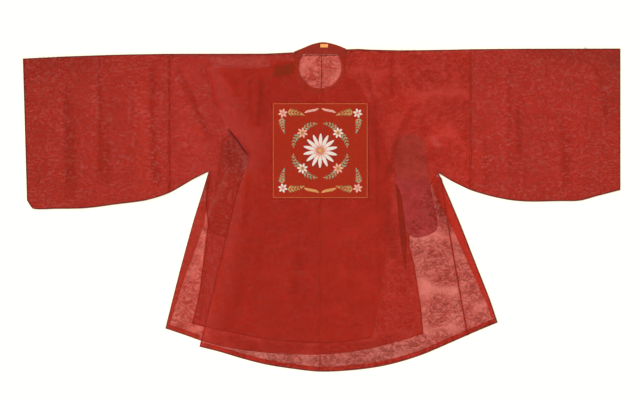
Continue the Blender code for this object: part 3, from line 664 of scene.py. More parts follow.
def slip_paper():
    """Mulberry paper of the blank slip: warm yellow, fibrous and a little uneven in tone."""
    material, tree = new_material("mulberry_paper_slip")
    shade = weighted(tree, 1.0, (uneven(tree, 5, 1.2, 3.0, 0.7), 0.25), (uneven(tree, 12, 12), 0.3))
    paper = add_node(tree, "ShaderNodeBsdfPrincipled",
                     {"Base Color": toned(tree, colour("#E39A55")[:3], shade), "Roughness": 0.85,
                      "Specular IOR Level": 0.15}).outputs[0]
    finish_material(tree, paper)
    return material


def floor_paper():
    """Seamless backdrop paper: matt and nearly white."""
    material, tree = new_material("backdrop_paper")
    shade = weighted(tree, 1.0, (uneven(tree, 4, 4), 0.02))
    paper = add_node(tree, "ShaderNodeBsdfPrincipled",
                     {"Base Color": toned(tree, colour("#FAFAE4")[:3], shade), "Roughness": 0.9,
                      "Specular IOR Level": 0.1}).outputs[0]
    finish_material(tree, paper)
    return material


# Cutting cloth ----------------------------------------------------------------------------------

def slice_faces(sheet, faces, axis, lines):
    """Cut the faces along every line across one axis, the middle line first."""
    if not lines or not faces:
        return
    middle = len(lines) // 2
    edges = {edge for face in faces for edge in face.edges}
    verts = {vert for face in faces for vert in face.verts}
    normal = (1.0 - axis, float(axis), 0.0)
    place = (lines[middle] * normal[0], lines[middle] * normal[1], 0.0)
    made = bmesh.ops.bisect_plane(sheet, geom=[*verts, *edges, *faces], dist=0.0004,
                                  plane_co=place, plane_no=normal)["geom"]
    cut = [item for item in made if isinstance(item, bmesh.types.BMFace)]
    near = [face for face in cut if face.calc_center_median()[axis] < lines[middle]]
    far = [face for face in cut if face.calc_center_median()[axis] >= lines[middle]]
    slice_faces(sheet, near, axis, lines[:middle])
    slice_faces(sheet, far, axis, lines[middle + 1:])


def grid_lines(low, high, fine, hidden):
    """Places of the cuts, which lie further apart between the two hidden places."""
    lines = []
    place = math.ceil(low / fine) * fine
    while place < high:
        lines.append(place)
        place += COARSE if hidden[0] <= place < hidden[1] else fine
    return lines


def raise_to(sheet, height):
    """Lift every vertex by the height at its place."""
    verts = sheet.verts[:]
    x = np.array([vert.co.x for vert in verts])
    y = np.array([vert.co.y for vert in verts])
    for vert, z in zip(verts, height(x, y)):
        vert.co.z += z


def face_up(sheet):
    bmesh.ops.recalc_face_normals(sheet, faces=sheet.faces[:])
    if sum(face.normal.z * face.calc_area() for face in sheet.faces) < 0:
        bmesh.ops.reverse_faces(sheet, faces=sheet.faces[:])


def cut_sheet(outline, height, fine=FINE, hidden_x=(0.0, 0.0)):
    """One flat piece, cut along the cloth's grid and laid at its height."""
    sheet = bmesh.new()
    sheet.faces.new([sheet.verts.new((x, y, 0.0)) for x, y in outline])
    for axis, hidden in enumerate((hidden_x, (0.0, 0.0))):
        places = [point[axis] for point in outline]
        slice_faces(sheet, sheet.faces[:], axis, grid_lines(min(places), max(places), fine, hidden))
    raise_to(sheet, height)
    face_up(sheet)
    return sheet


def inside(outline, x, y):
    """True where places lie inside an outline."""
    within = np.zeros(x.shape, dtype=bool)
    for (x0, y0), (x1, y1) in zip(outline, outline[1:] + outline[:1]):
        if y0 != y1:
            crosses = (y0 > y) != (y1 > y)
            within ^= crosses & (x < x0 + (x1 - x0) * (y - y0) / (y1 - y0))
    return within


def mark_cloth(piece, others=None, worn_edges=()):
    """Store how close the threads lie at each point, with the painted crease shade that it brings, how
    faded they are, and where the cloth is clear of the others.  Towards the edges listed in
    worn_edges the cloth thins out, so that it hardly shows there."""
    places = np.zeros(len(piece.data.vertices) * 3)
    piece.data.vertices.foreach_get("co", places)
    x, y = places.reshape(-1, 3).T[:2]
    # closeness carries the painted shade of the creases as well as how close the threads lie
    close = closeness(x, y)
    pale = fading(x, y)
    for edge, reach, amount in worn_edges:
        near = amount * (1.0 - ease(distance_to(edge, x, y) / reach))
        close = close - 0.40 * near
        pale = pale + 0.17 * near
    for name, values in (("creased", close), ("faded", pale)):
        stored = piece.data.attributes.new(name, "FLOAT", "POINT")
        stored.data.foreach_set("value", values)
    if others:
        clear = np.ones(x.shape, dtype=bool)
        for outline in others:
            clear &= ~inside(outline, x, y)
        alone = piece.data.attributes.new("alone", "FLOAT", "POINT")
        alone.data.foreach_set("value", clear.astype(float))


def inner_layer():
    """Outline of the inner front with its overlap."""
    line = neck_line(180, 348)
    line += reversed_line(smooth_line(INNER_FREE_EDGE))
    line += reversed_line(smooth_line(INNER_HEM))[1:]
    line += reversed_line(smooth_line(INNER_SIDE))[1:]
    return line + [(SEAM_LEFT, 0.057), (SEAM_LEFT, 0.630), (line[0][0], 0.630)]


def back_layer():
    """Outline of the back, under the fronts."""
    line = smooth_line(BACK_SIDE_LEFT) + smooth_line(BACK_HEM)[1:] + smooth_line(BACK_SIDE_RIGHT)[1:]
    return line + [(SEAM_RIGHT, 0.070), (SEAM_RIGHT, 0.650), (SEAM_LEFT, 0.630), (SEAM_LEFT, 0.057)]


def facing_area(points, widths):
    """Outline of the strip on the left hand of a line."""
    line = smooth_line(points)
    return line + reversed_line(beside(line, widths))


def add_piece(name, mesh, material, wall=GAUZE):
    """A finished object from a surface; Solidify gives the wall on the outer side, with a crisp rim."""
    for line in mesh.edges:
        line.smooth = not line.is_boundary
    data = bpy.data.meshes.new(name)
    mesh.to_mesh(data)
    mesh.free()
    data.materials.append(material)
    data.shade_smooth()
    piece = bpy.data.objects.new(name, data)
    bpy.context.scene.collection.objects.link(piece)
    if wall:
        solid = piece.modifiers.new("wall", "SOLIDIFY")
        solid.thickness = wall
        solid.offset = 1.0
    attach(piece, "root")
    return piece


def stands_for(piece, node):
    """The piece takes its solid's place: the solid is hidden."""
    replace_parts(piece, node)


def grow(mesh, verts, edges):
    """Extrude a row of edges; the new row's verts come in the order of the old ones."""
    grown = bmesh.ops.extrude_edge_only(mesh, edges=edges)["geom"]
    order = {vert: k for k, vert in enumerate(verts)}
    after = {}
    for vert in (item for item in grown if isinstance(item, bmesh.types.BMVert)):
        for edge in vert.link_edges:
            old = edge.other_vert(vert)
            if old in order:
                after[order[old]] = vert
    edges = [item for item in grown if isinstance(item, bmesh.types.BMEdge)]
    return [after[k] for k in range(len(verts))], edges


def closed_row(mesh, count):
    """The first row of a tube or ring: its verts and edges, still all in one place."""
    verts = [mesh.verts.new((0.0, 0.0, 0.0)) for _ in range(count)]
    return verts, [mesh.edges.new((verts[k], verts[(k + 1) % count])) for k in range(count)]


def roll_over_shoulder(sheet, shoulder):
    """Carry the top edge round the fold and a little way back on the underside."""
    edges = [edge for edge in sheet.edges if edge.is_boundary
             and all(abs(v.co.y - along(shoulder, v.co.x)) < 0.0008 for v in edge.verts)]
    by_x = {round(v.co.x, 6): (v.co.y, v.co.z) for edge in edges for v in edge.verts}
    turns = [math.pi * k / FOLD_STEPS for k in range(1, FOLD_STEPS + 1)]
    places = [(math.sin(turn), math.cos(turn), 0.0) for turn in turns]
    places.append((0.0, -1.0, FOLD_TAIL))
    for side, up, tail in places:
        grown = bmesh.ops.extrude_edge_only(sheet, edges=edges)["geom"]
        for vertex in (item for item in grown if isinstance(item, bmesh.types.BMVert)):
            y, z = by_x[round(vertex.co.x, 6)]
            radius = (z - GAUZE) / 2
            vertex.co.y = y + radius * side - tail
            vertex.co.z = GAUZE + radius + radius * up
        edges = [item for item in grown if isinstance(item, bmesh.types.BMEdge)]
    sheet.normal_update()


def make_sleeve(name, seam_x, top_line, bottom_line, gauze):
    """A flattened tube: one ring at the sleeve seam, extruded ring by ring to the cuff."""
    way = 1.0 if seam_x > 0 else -1.0
    cuff_x = CUFF_RIGHT if way > 0 else CUFF_LEFT
    bottom = sorted(smooth_line(bottom_line))
    corner_x = bottom[-1][0] if way > 0 else bottom[0][0]
    stations = round(abs(corner_x - seam_x) / FINE)
    lift = FOLD_INSIDE + GAUZE
    tube = bmesh.new()
    for k in range(stations + 1):
        x = seam_x + (corner_x - seam_x) * k / stations
        slant = (cuff_x - corner_x) * (x - seam_x) / (corner_x - seam_x)
        top = along(top_line, x + slant) - lift
        low = along(bottom, x) + lift
        ring = [(low + (top - low) * j / SLEEVE_UNDER_STEPS, GAUZE) for j in range(SLEEVE_UNDER_STEPS + 1)]
        half = (INNER - GAUZE) / 2
        for j in range(1, FOLD_STEPS):
            turn = math.pi * j / FOLD_STEPS
            ring.append((top + half * math.sin(turn), GAUZE + half - half * math.cos(turn)))
        ring += [(top + (low - top) * j / SLEEVE_UPPER_STEPS, INNER) for j in range(SLEEVE_UPPER_STEPS + 1)]
        for j in range(1, FOLD_STEPS):
            turn = math.pi * j / FOLD_STEPS
            ring.append((low - half * math.sin(turn), GAUZE + half + half * math.cos(turn)))
        y = np.array([point[0] for point in ring])
        z = np.array([point[1] for point in ring])
        rise = np.clip((y - low) / (top - low), 0.0, 1.0)
        place = x + slant * rise
        free = (z == INNER) * ease(12.0 * np.minimum(rise, 1.0 - rise))
        z = z + folds(place, y) * free
        verts, edges = grow(tube, verts, edges) if k else closed_row(tube, len(ring))
        for vert, px, py, pz in zip(verts, place, y, z):
            vert.co = (px, py, pz)
    bmesh.ops.recalc_face_normals(tube, faces=tube.faces[:])
    upper = max(tube.faces, key=lambda face: face.calc_center_median().z)
    if upper.normal.z < 0:
        bmesh.ops.reverse_faces(tube, faces=tube.faces[:])
    sleeve = add_piece(name + "_gauze", tube, gauze)
    mark_cloth(sleeve)
    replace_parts(sleeve, name)


def make_backs(gauze):
    """Two widths under everything, meeting at the centre back."""
    fold_left = drop(SHOULDER_LEFT, FOLD_INSIDE + WALL + FOLD_TAIL + SEAM)
    fold_right = drop(SHOULDER_RIGHT, FOLD_INSIDE + WALL + FOLD_TAIL + SEAM)
    half = SEAM / 2
    hem = smooth_line(BACK_HEM)
    left = [(CENTRE_BACK - half, NECK_BACK), (-0.067, NECK_BACK)]
    left += reversed_line(from_x(fold_left, SEAM_LEFT, COLLAR_LEFT - SEAM))
    left += from_x(smooth_line(UNDER_SLEEVE_LEFT), SEAM_LEFT)
    left += smooth_line(BACK_SIDE_LEFT)[1:]
    left += from_x(hem, -FAR, CENTRE_BACK - half)[1:]
    right = [(CENTRE_BACK + half, NECK_BACK)]
    right += from_x(hem, CENTRE_BACK + half)
    right += smooth_line(BACK_SIDE_RIGHT)[1:]
    right += from_x(smooth_line(UNDER_SLEEVE_RIGHT), -FAR, SEAM_RIGHT)[1:]
    right += reversed_line(from_x(fold_right, COLLAR_RIGHT + SEAM, SEAM_RIGHT))
    right += [(COLLAR_RIGHT + SEAM, NECK_BACK)]
    for name, outline in (("back_left", left), ("back_right", right)):
        piece = add_piece(name + "_gauze", cut_sheet(outline, on_floor, 0.012), gauze)
        mark_cloth(piece, [inner_layer(), facing_area(SIDE_FACING_LINE, SIDE_FACING)])
        stands_for(piece, name)


def make_fronts(gauze, inner_gauze):
    """Inner and outer fronts, their overlaps and the side flap."""
    top_left = drop(SHOULDER_LEFT, FOLD_INSIDE + WALL)
    top_right = drop(SHOULDER_RIGHT, FOLD_INSIDE + WALL)
    half = SEAM / 2
    neck_left = COLLAR_LEFT - SEAM

    inner = from_x(neck_line(180, 270), -FAR, CENTRE_FRONT - half)
    inner += reversed_line(from_x(smooth_line(INNER_HEM), -FAR, CENTRE_FRONT - half))
    inner += reversed_line(smooth_line(INNER_SIDE))[1:]
    inner += reversed_line(from_x(smooth_line(UNDER_SLEEVE_LEFT), SEAM_LEFT + SEAM))[1:]
    inner += from_x(top_left, SEAM_LEFT + SEAM, neck_left)
    sheet = cut_sheet(inner, inner_height, hidden_x=(-0.30, FAR))
    roll_over_shoulder(sheet, top_left)
    piece = add_piece("front_inner_gauze", sheet, inner_gauze)
    mark_cloth(piece)
    stands_for(piece, "front_inner")

    overlap = from_x(neck_line(270, 348), CENTRE_FRONT + half)
    overlap += reversed_line(smooth_line(INNER_FREE_EDGE))
    overlap += reversed_line(from_x(smooth_line(INNER_HEM), CENTRE_FRONT + half))[1:]
    piece = add_piece("overlap_inner_gauze", cut_sheet(overlap, inner_level, COARSE), gauze)
    stands_for(piece, "overlap_inner")

    hem = smooth_line(OUTER_HEM)
    seam = smooth_line(FLAP_SEAM)
    outer = from_x(reversed_line(neck_line(270, 360)), CENTRE_FRONT + half)
    outer += from_x(hem, CENTRE_FRONT + half, seam[-1][0] - half)
    outer += [(x - half, y) for x, y in reversed_line(seam)]
    outer += from_x(smooth_line(UNDER_SLEEVE_RIGHT), -FAR, SEAM_RIGHT - SEAM)
    outer += reversed_line(from_x(top_right, COLLAR_RIGHT + SEAM, SEAM_RIGHT - SEAM))
    sheet = cut_sheet(outer, outer_height)
    roll_over_shoulder(sheet, top_right)
    piece = add_piece("front_outer_gauze", sheet, gauze)
    below = [inner_layer(), back_layer()]
    below_facing = [*below, facing_area(FLAP_FACING_LINE, FLAP_FACING)]
    mark_cloth(piece, below_facing)
    stands_for(piece, "front_outer")

    over = from_x(neck_line(180, 270), -FAR, CENTRE_FRONT - half)
    over += reversed_line(from_x(hem, -FAR, CENTRE_FRONT - half))
    over += reversed_line(smooth_line(OUTER_ARMHOLE))
    over += [(-0.221, 0.581), (-0.212, 0.606), (neck_left, 0.606)]
    piece = add_piece("overlap_outer_gauze", cut_sheet(over, outer_height), gauze)
    mark_cloth(piece, below, ((OUTER_ARMHOLE[:4], 0.160, 1.0), (OVERLAP_SIDE, 0.090, 0.8)))
    stands_for(piece, "overlap_outer")

    flap = [(x + half, y) for x, y in seam]
    flap += from_x(hem, seam[-1][0] + half)
    flap += smooth_line(OUTER_SIDE)[1:-1]
    flap += [(0.4965, 0.1235)]
    piece = add_piece("front_flap_gauze", cut_sheet(flap, outer_height), gauze)
    mark_cloth(piece, below_facing)
    stands_for(piece, "front_flap")


# Strips, hems and stitches ----------------------------------------------------------------------

def beside(line, offset):
    """A line moved to its left hand by offset, or by a width for each part of its length."""
    moved = []
    last = len(line) - 1
    for k, (x, y) in enumerate(line):
        x0, y0 = line[max(k - 1, 0)]
        x1, y1 = line[min(k + 1, last)]
        length = math.hypot(x1 - x0, y1 - y0)
        width = along(offset, k / last) if isinstance(offset, tuple) else offset
        moved.append((x - (y1 - y0) / length * width, y + (x1 - x0) / length * width))
    return moved


def strip(line, widths, height, columns=2, start=0.0):
    """A strip on the left hand of a line: the line's edges are extruded sideways."""
    sheet = bmesh.new()
    verts = [sheet.verts.new((x, y, 0.0)) for x, y in beside(line, start)]
    edges = [sheet.edges.new(pair) for pair in zip(verts, verts[1:])]
    for column in range(1, columns + 1):
        verts, edges = grow(sheet, verts, edges)
        share = tuple((part, start + width * column / columns) for part, width in widths)
        for vert, (x, y) in zip(verts, beside(line, share)):
            vert.co.x = x
            vert.co.y = y
    raise_to(sheet, height)
    face_up(sheet)
    return sheet


def even(line, spacing):
    """Points every spacing along a line, with the direction there."""
    places = []
    ahead = spacing / 2
    for (x0, y0), (x1, y1) in zip(line, line[1:]):
        length = math.hypot(x1 - x0, y1 - y0)
        while ahead < length:
            t = ahead / length
            places.append((x0 + (x1 - x0) * t, y0 + (y1 - y0) * t, math.atan2(y1 - y0, x1 - x0)))
            ahead += spacing
        ahead -= length
    return places


def stitches(name, rows, thread, length=0.0042, width=0.0009, tilt=0.0):
    """Rows of small rounded stitches joined in one mesh: (line, height, spacing) for each row."""
    sewing = bmesh.new()
    chance = random.Random(5)
    for line, height, spacing in rows:
        places = even(line, spacing)
        x = np.array([place[0] for place in places])
        y = np.array([place[1] for place in places])
        levels = height(x, y) + GAUZE
        for (px, py, angle), level in zip(places, levels):
            turn = Matrix.Rotation(angle + tilt + chance.uniform(-0.12, 0.12), 4, "Z")
            size = Matrix.Diagonal((length / 2 * chance.uniform(0.8, 1.15), width / 2, width / 2, 1.0))
            bmesh.ops.create_uvsphere(sewing, u_segments=6, v_segments=3, radius=1.0,
                                      matrix=Matrix.Translation((px, py, level)) @ turn @ size)
    add_piece(name, sewing, thread, wall=0)


def lay_strip(name, line, widths, height, silk, carrier, start=0.001, wall=GAUZE):
    """A strip of cloth along a line, as wide at each part as its widths give."""
    sheet = strip(line, widths, height, 4, start)
    area = sum(face.calc_area() for face in sheet.faces)
    piece = add_piece(name, sheet, silk, wall)
    return piece


def make_facings(doubled, under_flap):
    """Strips turned to the inside: on top of the back, and underneath the outer front."""
    back_hem = [(x, y + 0.001) for x, y in from_x(smooth_line(BACK_HEM), -0.648, -0.513)]
    hem = [(x, y + 0.001) for x, y in from_x(smooth_line(OUTER_HEM), -0.506, 0.728)]
    rows = (
        ("facing_back_side", smooth_line(SIDE_FACING_LINE), SIDE_FACING, on_back, doubled, "back_left",
         0.001),
        ("facing_back_hem", back_hem, HEM_FACING, on_back, doubled, "back_left", 0.0),
        ("facing_front_side", smooth_line(FLAP_FACING_LINE), FLAP_FACING, under_outer, under_flap,
         "front_flap", 0.001),
        ("facing_front_hem", hem, HEM_FACING, under_outer, under_flap, "front_outer", 0.0),
    )
    for name, *cut in rows:
        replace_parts(lay_strip(name + "_strip", *cut), name)


def make_turned_edges(doubled, turned):
    """Side edges of the back and of the inner front, turned in by a few centimetres; the back's is painted
    fold shadow.
    """
    # dark brown strip: painted shadow of the fold along the back's turned edge
    lay_strip("back_side_turned_fold_shadow", smooth_line(TURNED_BACK_LINE), TURNED_BACK, above(outer_height, -0.0007),
              turned, "back_right", wall=0.0005)
    inner_edge = [point for point in smooth_line(INNER_SIDE) if -0.470 < point[1] < -0.160]
    lay_strip("inner_side_turned", inner_edge, TURNED_INNER, above(inner_level, 0.0008), doubled,
              "front_inner", wall=0.0005)


def make_underarm(mauve, brown):
    """Reinforcing pieces with a round top; the left one mirrors the right."""
    right = smooth_line(PATCH_RIGHT + PATCH_RIGHT[:1], 0.02)[:-1]
    left = [(2 * PATCH_MIDDLE - x, y) for x, y in right]
    for name, outline, height, carrier, silk in (
            ("underarm_right", right, under_outer, "back_right", mauve),
            ("underarm_left", left, on_back, "back_left", brown)):
        piece = add_piece(name + "_patch", cut_sheet(outline, height, 0.015), silk)
        stands_for(piece, name)


def joined(sheets):
    """Several open sheets in one mesh."""
    whole = bmesh.new()
    for sheet in sheets:
        part = bpy.data.meshes.new("part")
        sheet.to_mesh(part)
        sheet.free()
        whole.from_mesh(part)
        bpy.data.meshes.remove(part)
    return whole


def make_edges(edge, seam, allowance):
    """Narrow rolled hems, pressed folds and seam allowances, each a few millimetres wide; the hems'
    dark purple is partly the doubled cloth, partly painted shadow along the outline.
    """
    centre_front = ((CENTRE_FRONT, 0.474), (CENTRE_FRONT, -0.685))
    centre_back = ((CENTRE_BACK, 0.634), (CENTRE_BACK, -0.614))
    back_neck = ((0.062, NECK_BACK), (-0.067, NECK_BACK))
    cuff_left = ((CUFF_LEFT, 0.617), (-1.228, 0.026))
    cuff_right = ((CUFF_RIGHT, 0.070), (CUFF_RIGHT, 0.659))
    seam_left = ((SEAM_LEFT - 0.004, 0.630), (SEAM_LEFT - 0.004, 0.062))
    seam_right = ((SEAM_RIGHT + 0.007, 0.074), (SEAM_RIGHT + 0.007, 0.650))
    on_outer_cloth = above(outer_height, WALL)
    under_outer_cloth = above(outer_height, -SEAM)
    on_inner_cloth = above(inner_level, WALL)
    on_back_cloth = above(on_floor, WALL)
    groups = {
        # name: cloth, then rows of a line, the width on its left hand, and the height
        "front_hems": (edge, (
            (OUTER_HEM, 0.0034, on_outer_cloth),
            (OUTER_SIDE, 0.0036, on_outer_cloth),
        )),
        # the overlap's armhole hem, widened and dark as painted shadow under its lifted edge
        "armhole_edge_shadow": (edge, (
            (((-0.390, 0.322), (-0.346, 0.264), (-0.309, 0.212)), 0.0050, on_outer_cloth),
        )),
        "front_seams": (seam, (
            (OVERLAP_SIDE, 0.0040, on_outer_cloth),
            (FLAP_SEAM, 0.0070, under_outer_cloth),
            (centre_front, 0.0040, under_outer_cloth),
        )),
        "inner_seams": (seam, (
            (INNER_SIDE, 0.0050, on_inner_cloth),
            (INNER_HEM, 0.0050, on_inner_cloth),
        )),
        "back_hems": (edge, (
            (BACK_SIDE_LEFT, 0.0026, on_back_cloth),
            (BACK_HEM, 0.0026, on_back_cloth),
        )),
        "back_seams": (seam, (
            (BACK_SIDE_RIGHT, 0.0050, on_back_cloth),
            (back_neck, 0.0040, on_back_cloth),
            (centre_back, 0.0045, on_back_cloth),
        )),
        "sleeve_hems": (edge, (
            (UNDER_SLEEVE_LEFT, 0.0034, on_top),
            (UNDER_SLEEVE_RIGHT, 0.0034, on_top),
            (reversed_line(SHOULDER_LEFT), 0.0034, on_top),
            (reversed_line(SHOULDER_RIGHT), 0.0030, on_top),
            (cuff_left, 0.0040, on_top),
            (cuff_right, 0.0040, on_top),
        )),
        "sleeve_seams": (allowance, (
            (seam_left, 0.0120, in_sleeve),
            (seam_right, 0.0120, in_sleeve),
        )),
    }
    made = {}
    for name, (cloth, rows) in groups.items():
        sheets = [strip(smooth_line(line), ((0.0, width), (1.0, width)), height, 1, 0.0004)
                  for line, width, height in rows]
        made[name] = add_piece(name, joined(sheets), cloth, wall=0.0004)
    return made


# Collar, tab, label -----------------------------------------------------------------------------

def ray_to(loop, angle):
    """Distance from the neck's centre to a closed line, in one direction."""
    dx = math.cos(angle)
    dy = math.sin(angle)
    best = 0.0
    for (x0, y0), (x1, y1) in zip(loop, loop[1:] + loop[:1]):
        ax = x0 - NECK_CENTRE[0]
        ay = y0 - NECK_CENTRE[1]
        ex = x1 - x0
        ey = y1 - y0
        cross = dx * ey - dy * ex
        if abs(cross) < 1e-12:
            continue
        t = (ax * ey - ay * ex) / cross
        s = (ax * dy - ay * dx) / cross
        if t > 0 and -1e-6 <= s <= 1 + 1e-6:
            best = max(best, t)
    return best


def make_collar(band, dark, tab_silk, paper, thread):
    """A doubled band round the front of the neck and the standing part laid flat behind it."""
    outer = smooth_line(((COLLAR_RIGHT, 0.659), (0.079, 0.669), (0.046, 0.680), (0.004, COLLAR_PEAK),
                         (-0.038, 0.678), (-0.075, 0.663), (COLLAR_LEFT, 0.647)), 0.005)
    outer += neck_line(180, 360, 0.0)
    chord = NECK_BACK + 0.0008 - NECK_CENTRE[1]
    ring = bmesh.new()
    for row in range(COLLAR_ROWS + 1):
        verts, edges = grow(ring, verts, edges) if row else closed_row(ring, COLLAR_DIRECTIONS)
        for k, vert in enumerate(verts):
            angle = 2 * math.pi * (k + 0.5) / COLLAR_DIRECTIONS
            inner = NECK_RADIUS
            if math.sin(angle) > chord / NECK_RADIUS:
                inner = chord / math.sin(angle)
            reach = inner + (ray_to(outer, angle) - inner) * row / COLLAR_ROWS
            vert.co.x = NECK_CENTRE[0] + reach * math.cos(angle)
            vert.co.y = NECK_CENTRE[1] + reach * math.sin(angle)
    raise_to(ring, collar_height)
    for vert in ring.verts:
        away = math.hypot(vert.co.x - NECK_CENTRE[0], vert.co.y - NECK_CENTRE[1])
        middle = 1.0 - abs((away - NECK_RADIUS) / COLLAR_BAND - 0.5) * 2
        vert.co.z += 0.0005 * max(middle, 0.0)
    face_up(ring)
    for face in ring.faces:
        face.material_index = int(face.calc_center_median().y > NECK_BACK - 0.012)
    area = sum(face.calc_area() for face in ring.faces)
    collar = add_piece("collar_band", ring, band, 0.0012)
    collar.data.materials.append(dark)
    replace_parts(collar, "collar")

    root = COLLAR_LEFT - SEAM
    strap = [(root, 0.604), (-0.165, 0.590), (-0.197, 0.584)]
    strap += arc((-0.188, 0.556), 0.016, 150, 270, 5)
    strap += [(-0.150, 0.545), (root, 0.560)]
    piece = add_piece("collar_tab_strap", cut_sheet(strap, on_outer, 0.006), tab_silk, 0.0009)
    stands_for(piece, "collar_tab")

    slip = [(-0.005, 0.6645), (0.027, 0.6645), (0.027, 0.6785), (-0.005, 0.6785)]
    sheet = cut_sheet(slip, above(collar_height, COLLAR_WALL + 2 * SEAM), 0.004)
    piece = add_piece("neck_label_slip", sheet, paper, 0.0005)
    stands_for(piece, "neck_label")

    band_inner = arc(NECK_CENTRE, NECK_RADIUS + 0.003, 150, 390, 90)
    band_outer = arc(NECK_CENTRE, NECK_RADIUS + COLLAR_BAND - 0.002, 176, 364, 80)
    stitches("collar_stitching", ((band_inner, above(collar_height, 0.0009), 0.007),
                                  (band_outer, above(collar_height, 0.0009), 0.007)),
             thread)


def make_loose_threads(thread):
    """Ends of thread that stand out from the folded edge near the left cuff, and one at the right."""
    chance = random.Random(11)
    fringe = bmesh.new()
    places = [(x, along(SHOULDER_LEFT, x)) for x in (-1.176, -1.160, -1.138, -1.121, -1.098, -1.084, -1.067)]
    places += [(1.097, 0.660), (1.101, 0.661), (0.335, 0.653), (0.386, 0.654)]
    for x, y in places:
        length = chance.uniform(0.010, 0.018)
        turn = Matrix.Rotation(math.pi / 2 + chance.uniform(-0.5, 0.5), 4, "Z")
        size = Matrix.Diagonal((length / 2, 0.0006, 0.0006, 1.0))
        bmesh.ops.create_uvsphere(fringe, u_segments=6, v_segments=4, radius=1.0,
                                  matrix=Matrix.Translation((x, y, INNER)) @ turn @ size)
    add_piece("loose_threads", fringe, thread, wall=0)


# Badge and its embroidery -----------------------------------------------------------------------

def badge_corners(inset=0.0):
    low = (BADGE_LEFT + inset, BADGE_BOTTOM + inset)
    high = (BADGE_LEFT + BADGE_SIDE - inset, BADGE_BOTTOM + BADGE_SIDE - inset)
    return [low, (high[0], low[1]), high, (low[0], high[1])]


def add_petal(mesh, laid, centre, angle, length, width, point, rise=0.0009):
    """One satin-stitched shape: a disc drawn out to a petal, then inset twice and crowned."""
    made = bmesh.ops.create_circle(mesh, cap_ends=True, segments=16, radius=1.0)
    verts = made["verts"]
    faces = list({face for vert in verts for face in vert.link_faces})
    for vert in verts:
        along_it = vert.co.x
        narrow = 1.0 - point * max(along_it, 0.0) ** 2 - 0.25 * max(-along_it, 0.0)
        vert.co.y *= narrow
    for share, up in ((0.28, 0.6), (0.30, 0.4)):
        bmesh.ops.inset_individual(mesh, faces=faces, thickness=share, depth=0.0, use_even_offset=False)
        for vert in faces[0].verts:
            vert.co.z += up
            verts.append(vert)
    verts = list(set(verts) | {vert for face in faces for vert in face.verts})
    turn = Matrix.Rotation(angle, 4, "Z")
    size = Matrix.Diagonal((length / 2, width / 2, rise, 1.0))
    place = Matrix.Translation((centre[0], centre[1], 0.0))
    group = set(verts)
    grown = group | {vert for face in mesh.faces if all(v in group for v in face.verts)
                     for vert in face.verts}
    for vert in grown:
        vert[laid] = vert.co.x * length / 2 * 0.9 + abs(vert.co.y) * width / 2 * 0.5
        vert.co = place @ turn @ size @ vert.co


def floss_piece(name, petals, material):
    """All the shapes worked in one colour of floss, lying on the badge's cloth."""
    mesh = bmesh.new()
    laid = mesh.verts.layers.float.new("laid")
    for petal in petals:
        add_petal(mesh, laid, *petal)
    raise_to(mesh, above(on_outer, GAUZE + 0.0001))
    face_up(mesh)
    add_piece(name, mesh, material, wall=0)


def flower(colours, centre, reach, count, turn, outer, inner, heart):
    """A round blossom: a ring of petals, a smaller one within, and a heart."""
    for k in range(count):
        angle = turn + 2 * math.pi * k / count
        place = (centre[0] + reach * 0.66 * math.cos(angle), centre[1] + reach * 0.66 * math.sin(angle))
        colours[outer].append((place, angle + math.pi, reach * 0.74, reach * 2.9 / count, 0.15))
        angle += math.pi / count
        place = (centre[0] + reach * 0.36 * math.cos(angle), centre[1] + reach * 0.36 * math.sin(angle))
        colours[inner].append((place, angle + math.pi, reach * 0.42, reach * 1.5 / count, 0.15, 0.0013))
    colours[heart].append((centre, 0.0, reach * 0.30, reach * 0.30, 0.0, 0.0017))


def spray(colours, start, angle, reach, leaf, other, bend, pairs):
    """A leafy spray: pairs of leaves along a bending stem."""
    x, y = start
    step = reach / pairs
    for k in range(pairs):
        size = reach * (0.40 - 0.05 * k)
        for side in (-1, 1):
            turn = angle + side * 0.75
            place = (x + size * 0.5 * math.cos(turn), y + size * 0.5 * math.sin(turn))
            colours[leaf if (k + (side > 0)) % 2 else other].append((place, turn, size, size * 0.34, 0.75))
        x += step * math.cos(angle)
        y += step * math.sin(angle)
        angle += bend / pairs
    colours[leaf].append(((x, y), angle, reach * 0.3, reach * 0.1, 0.7))


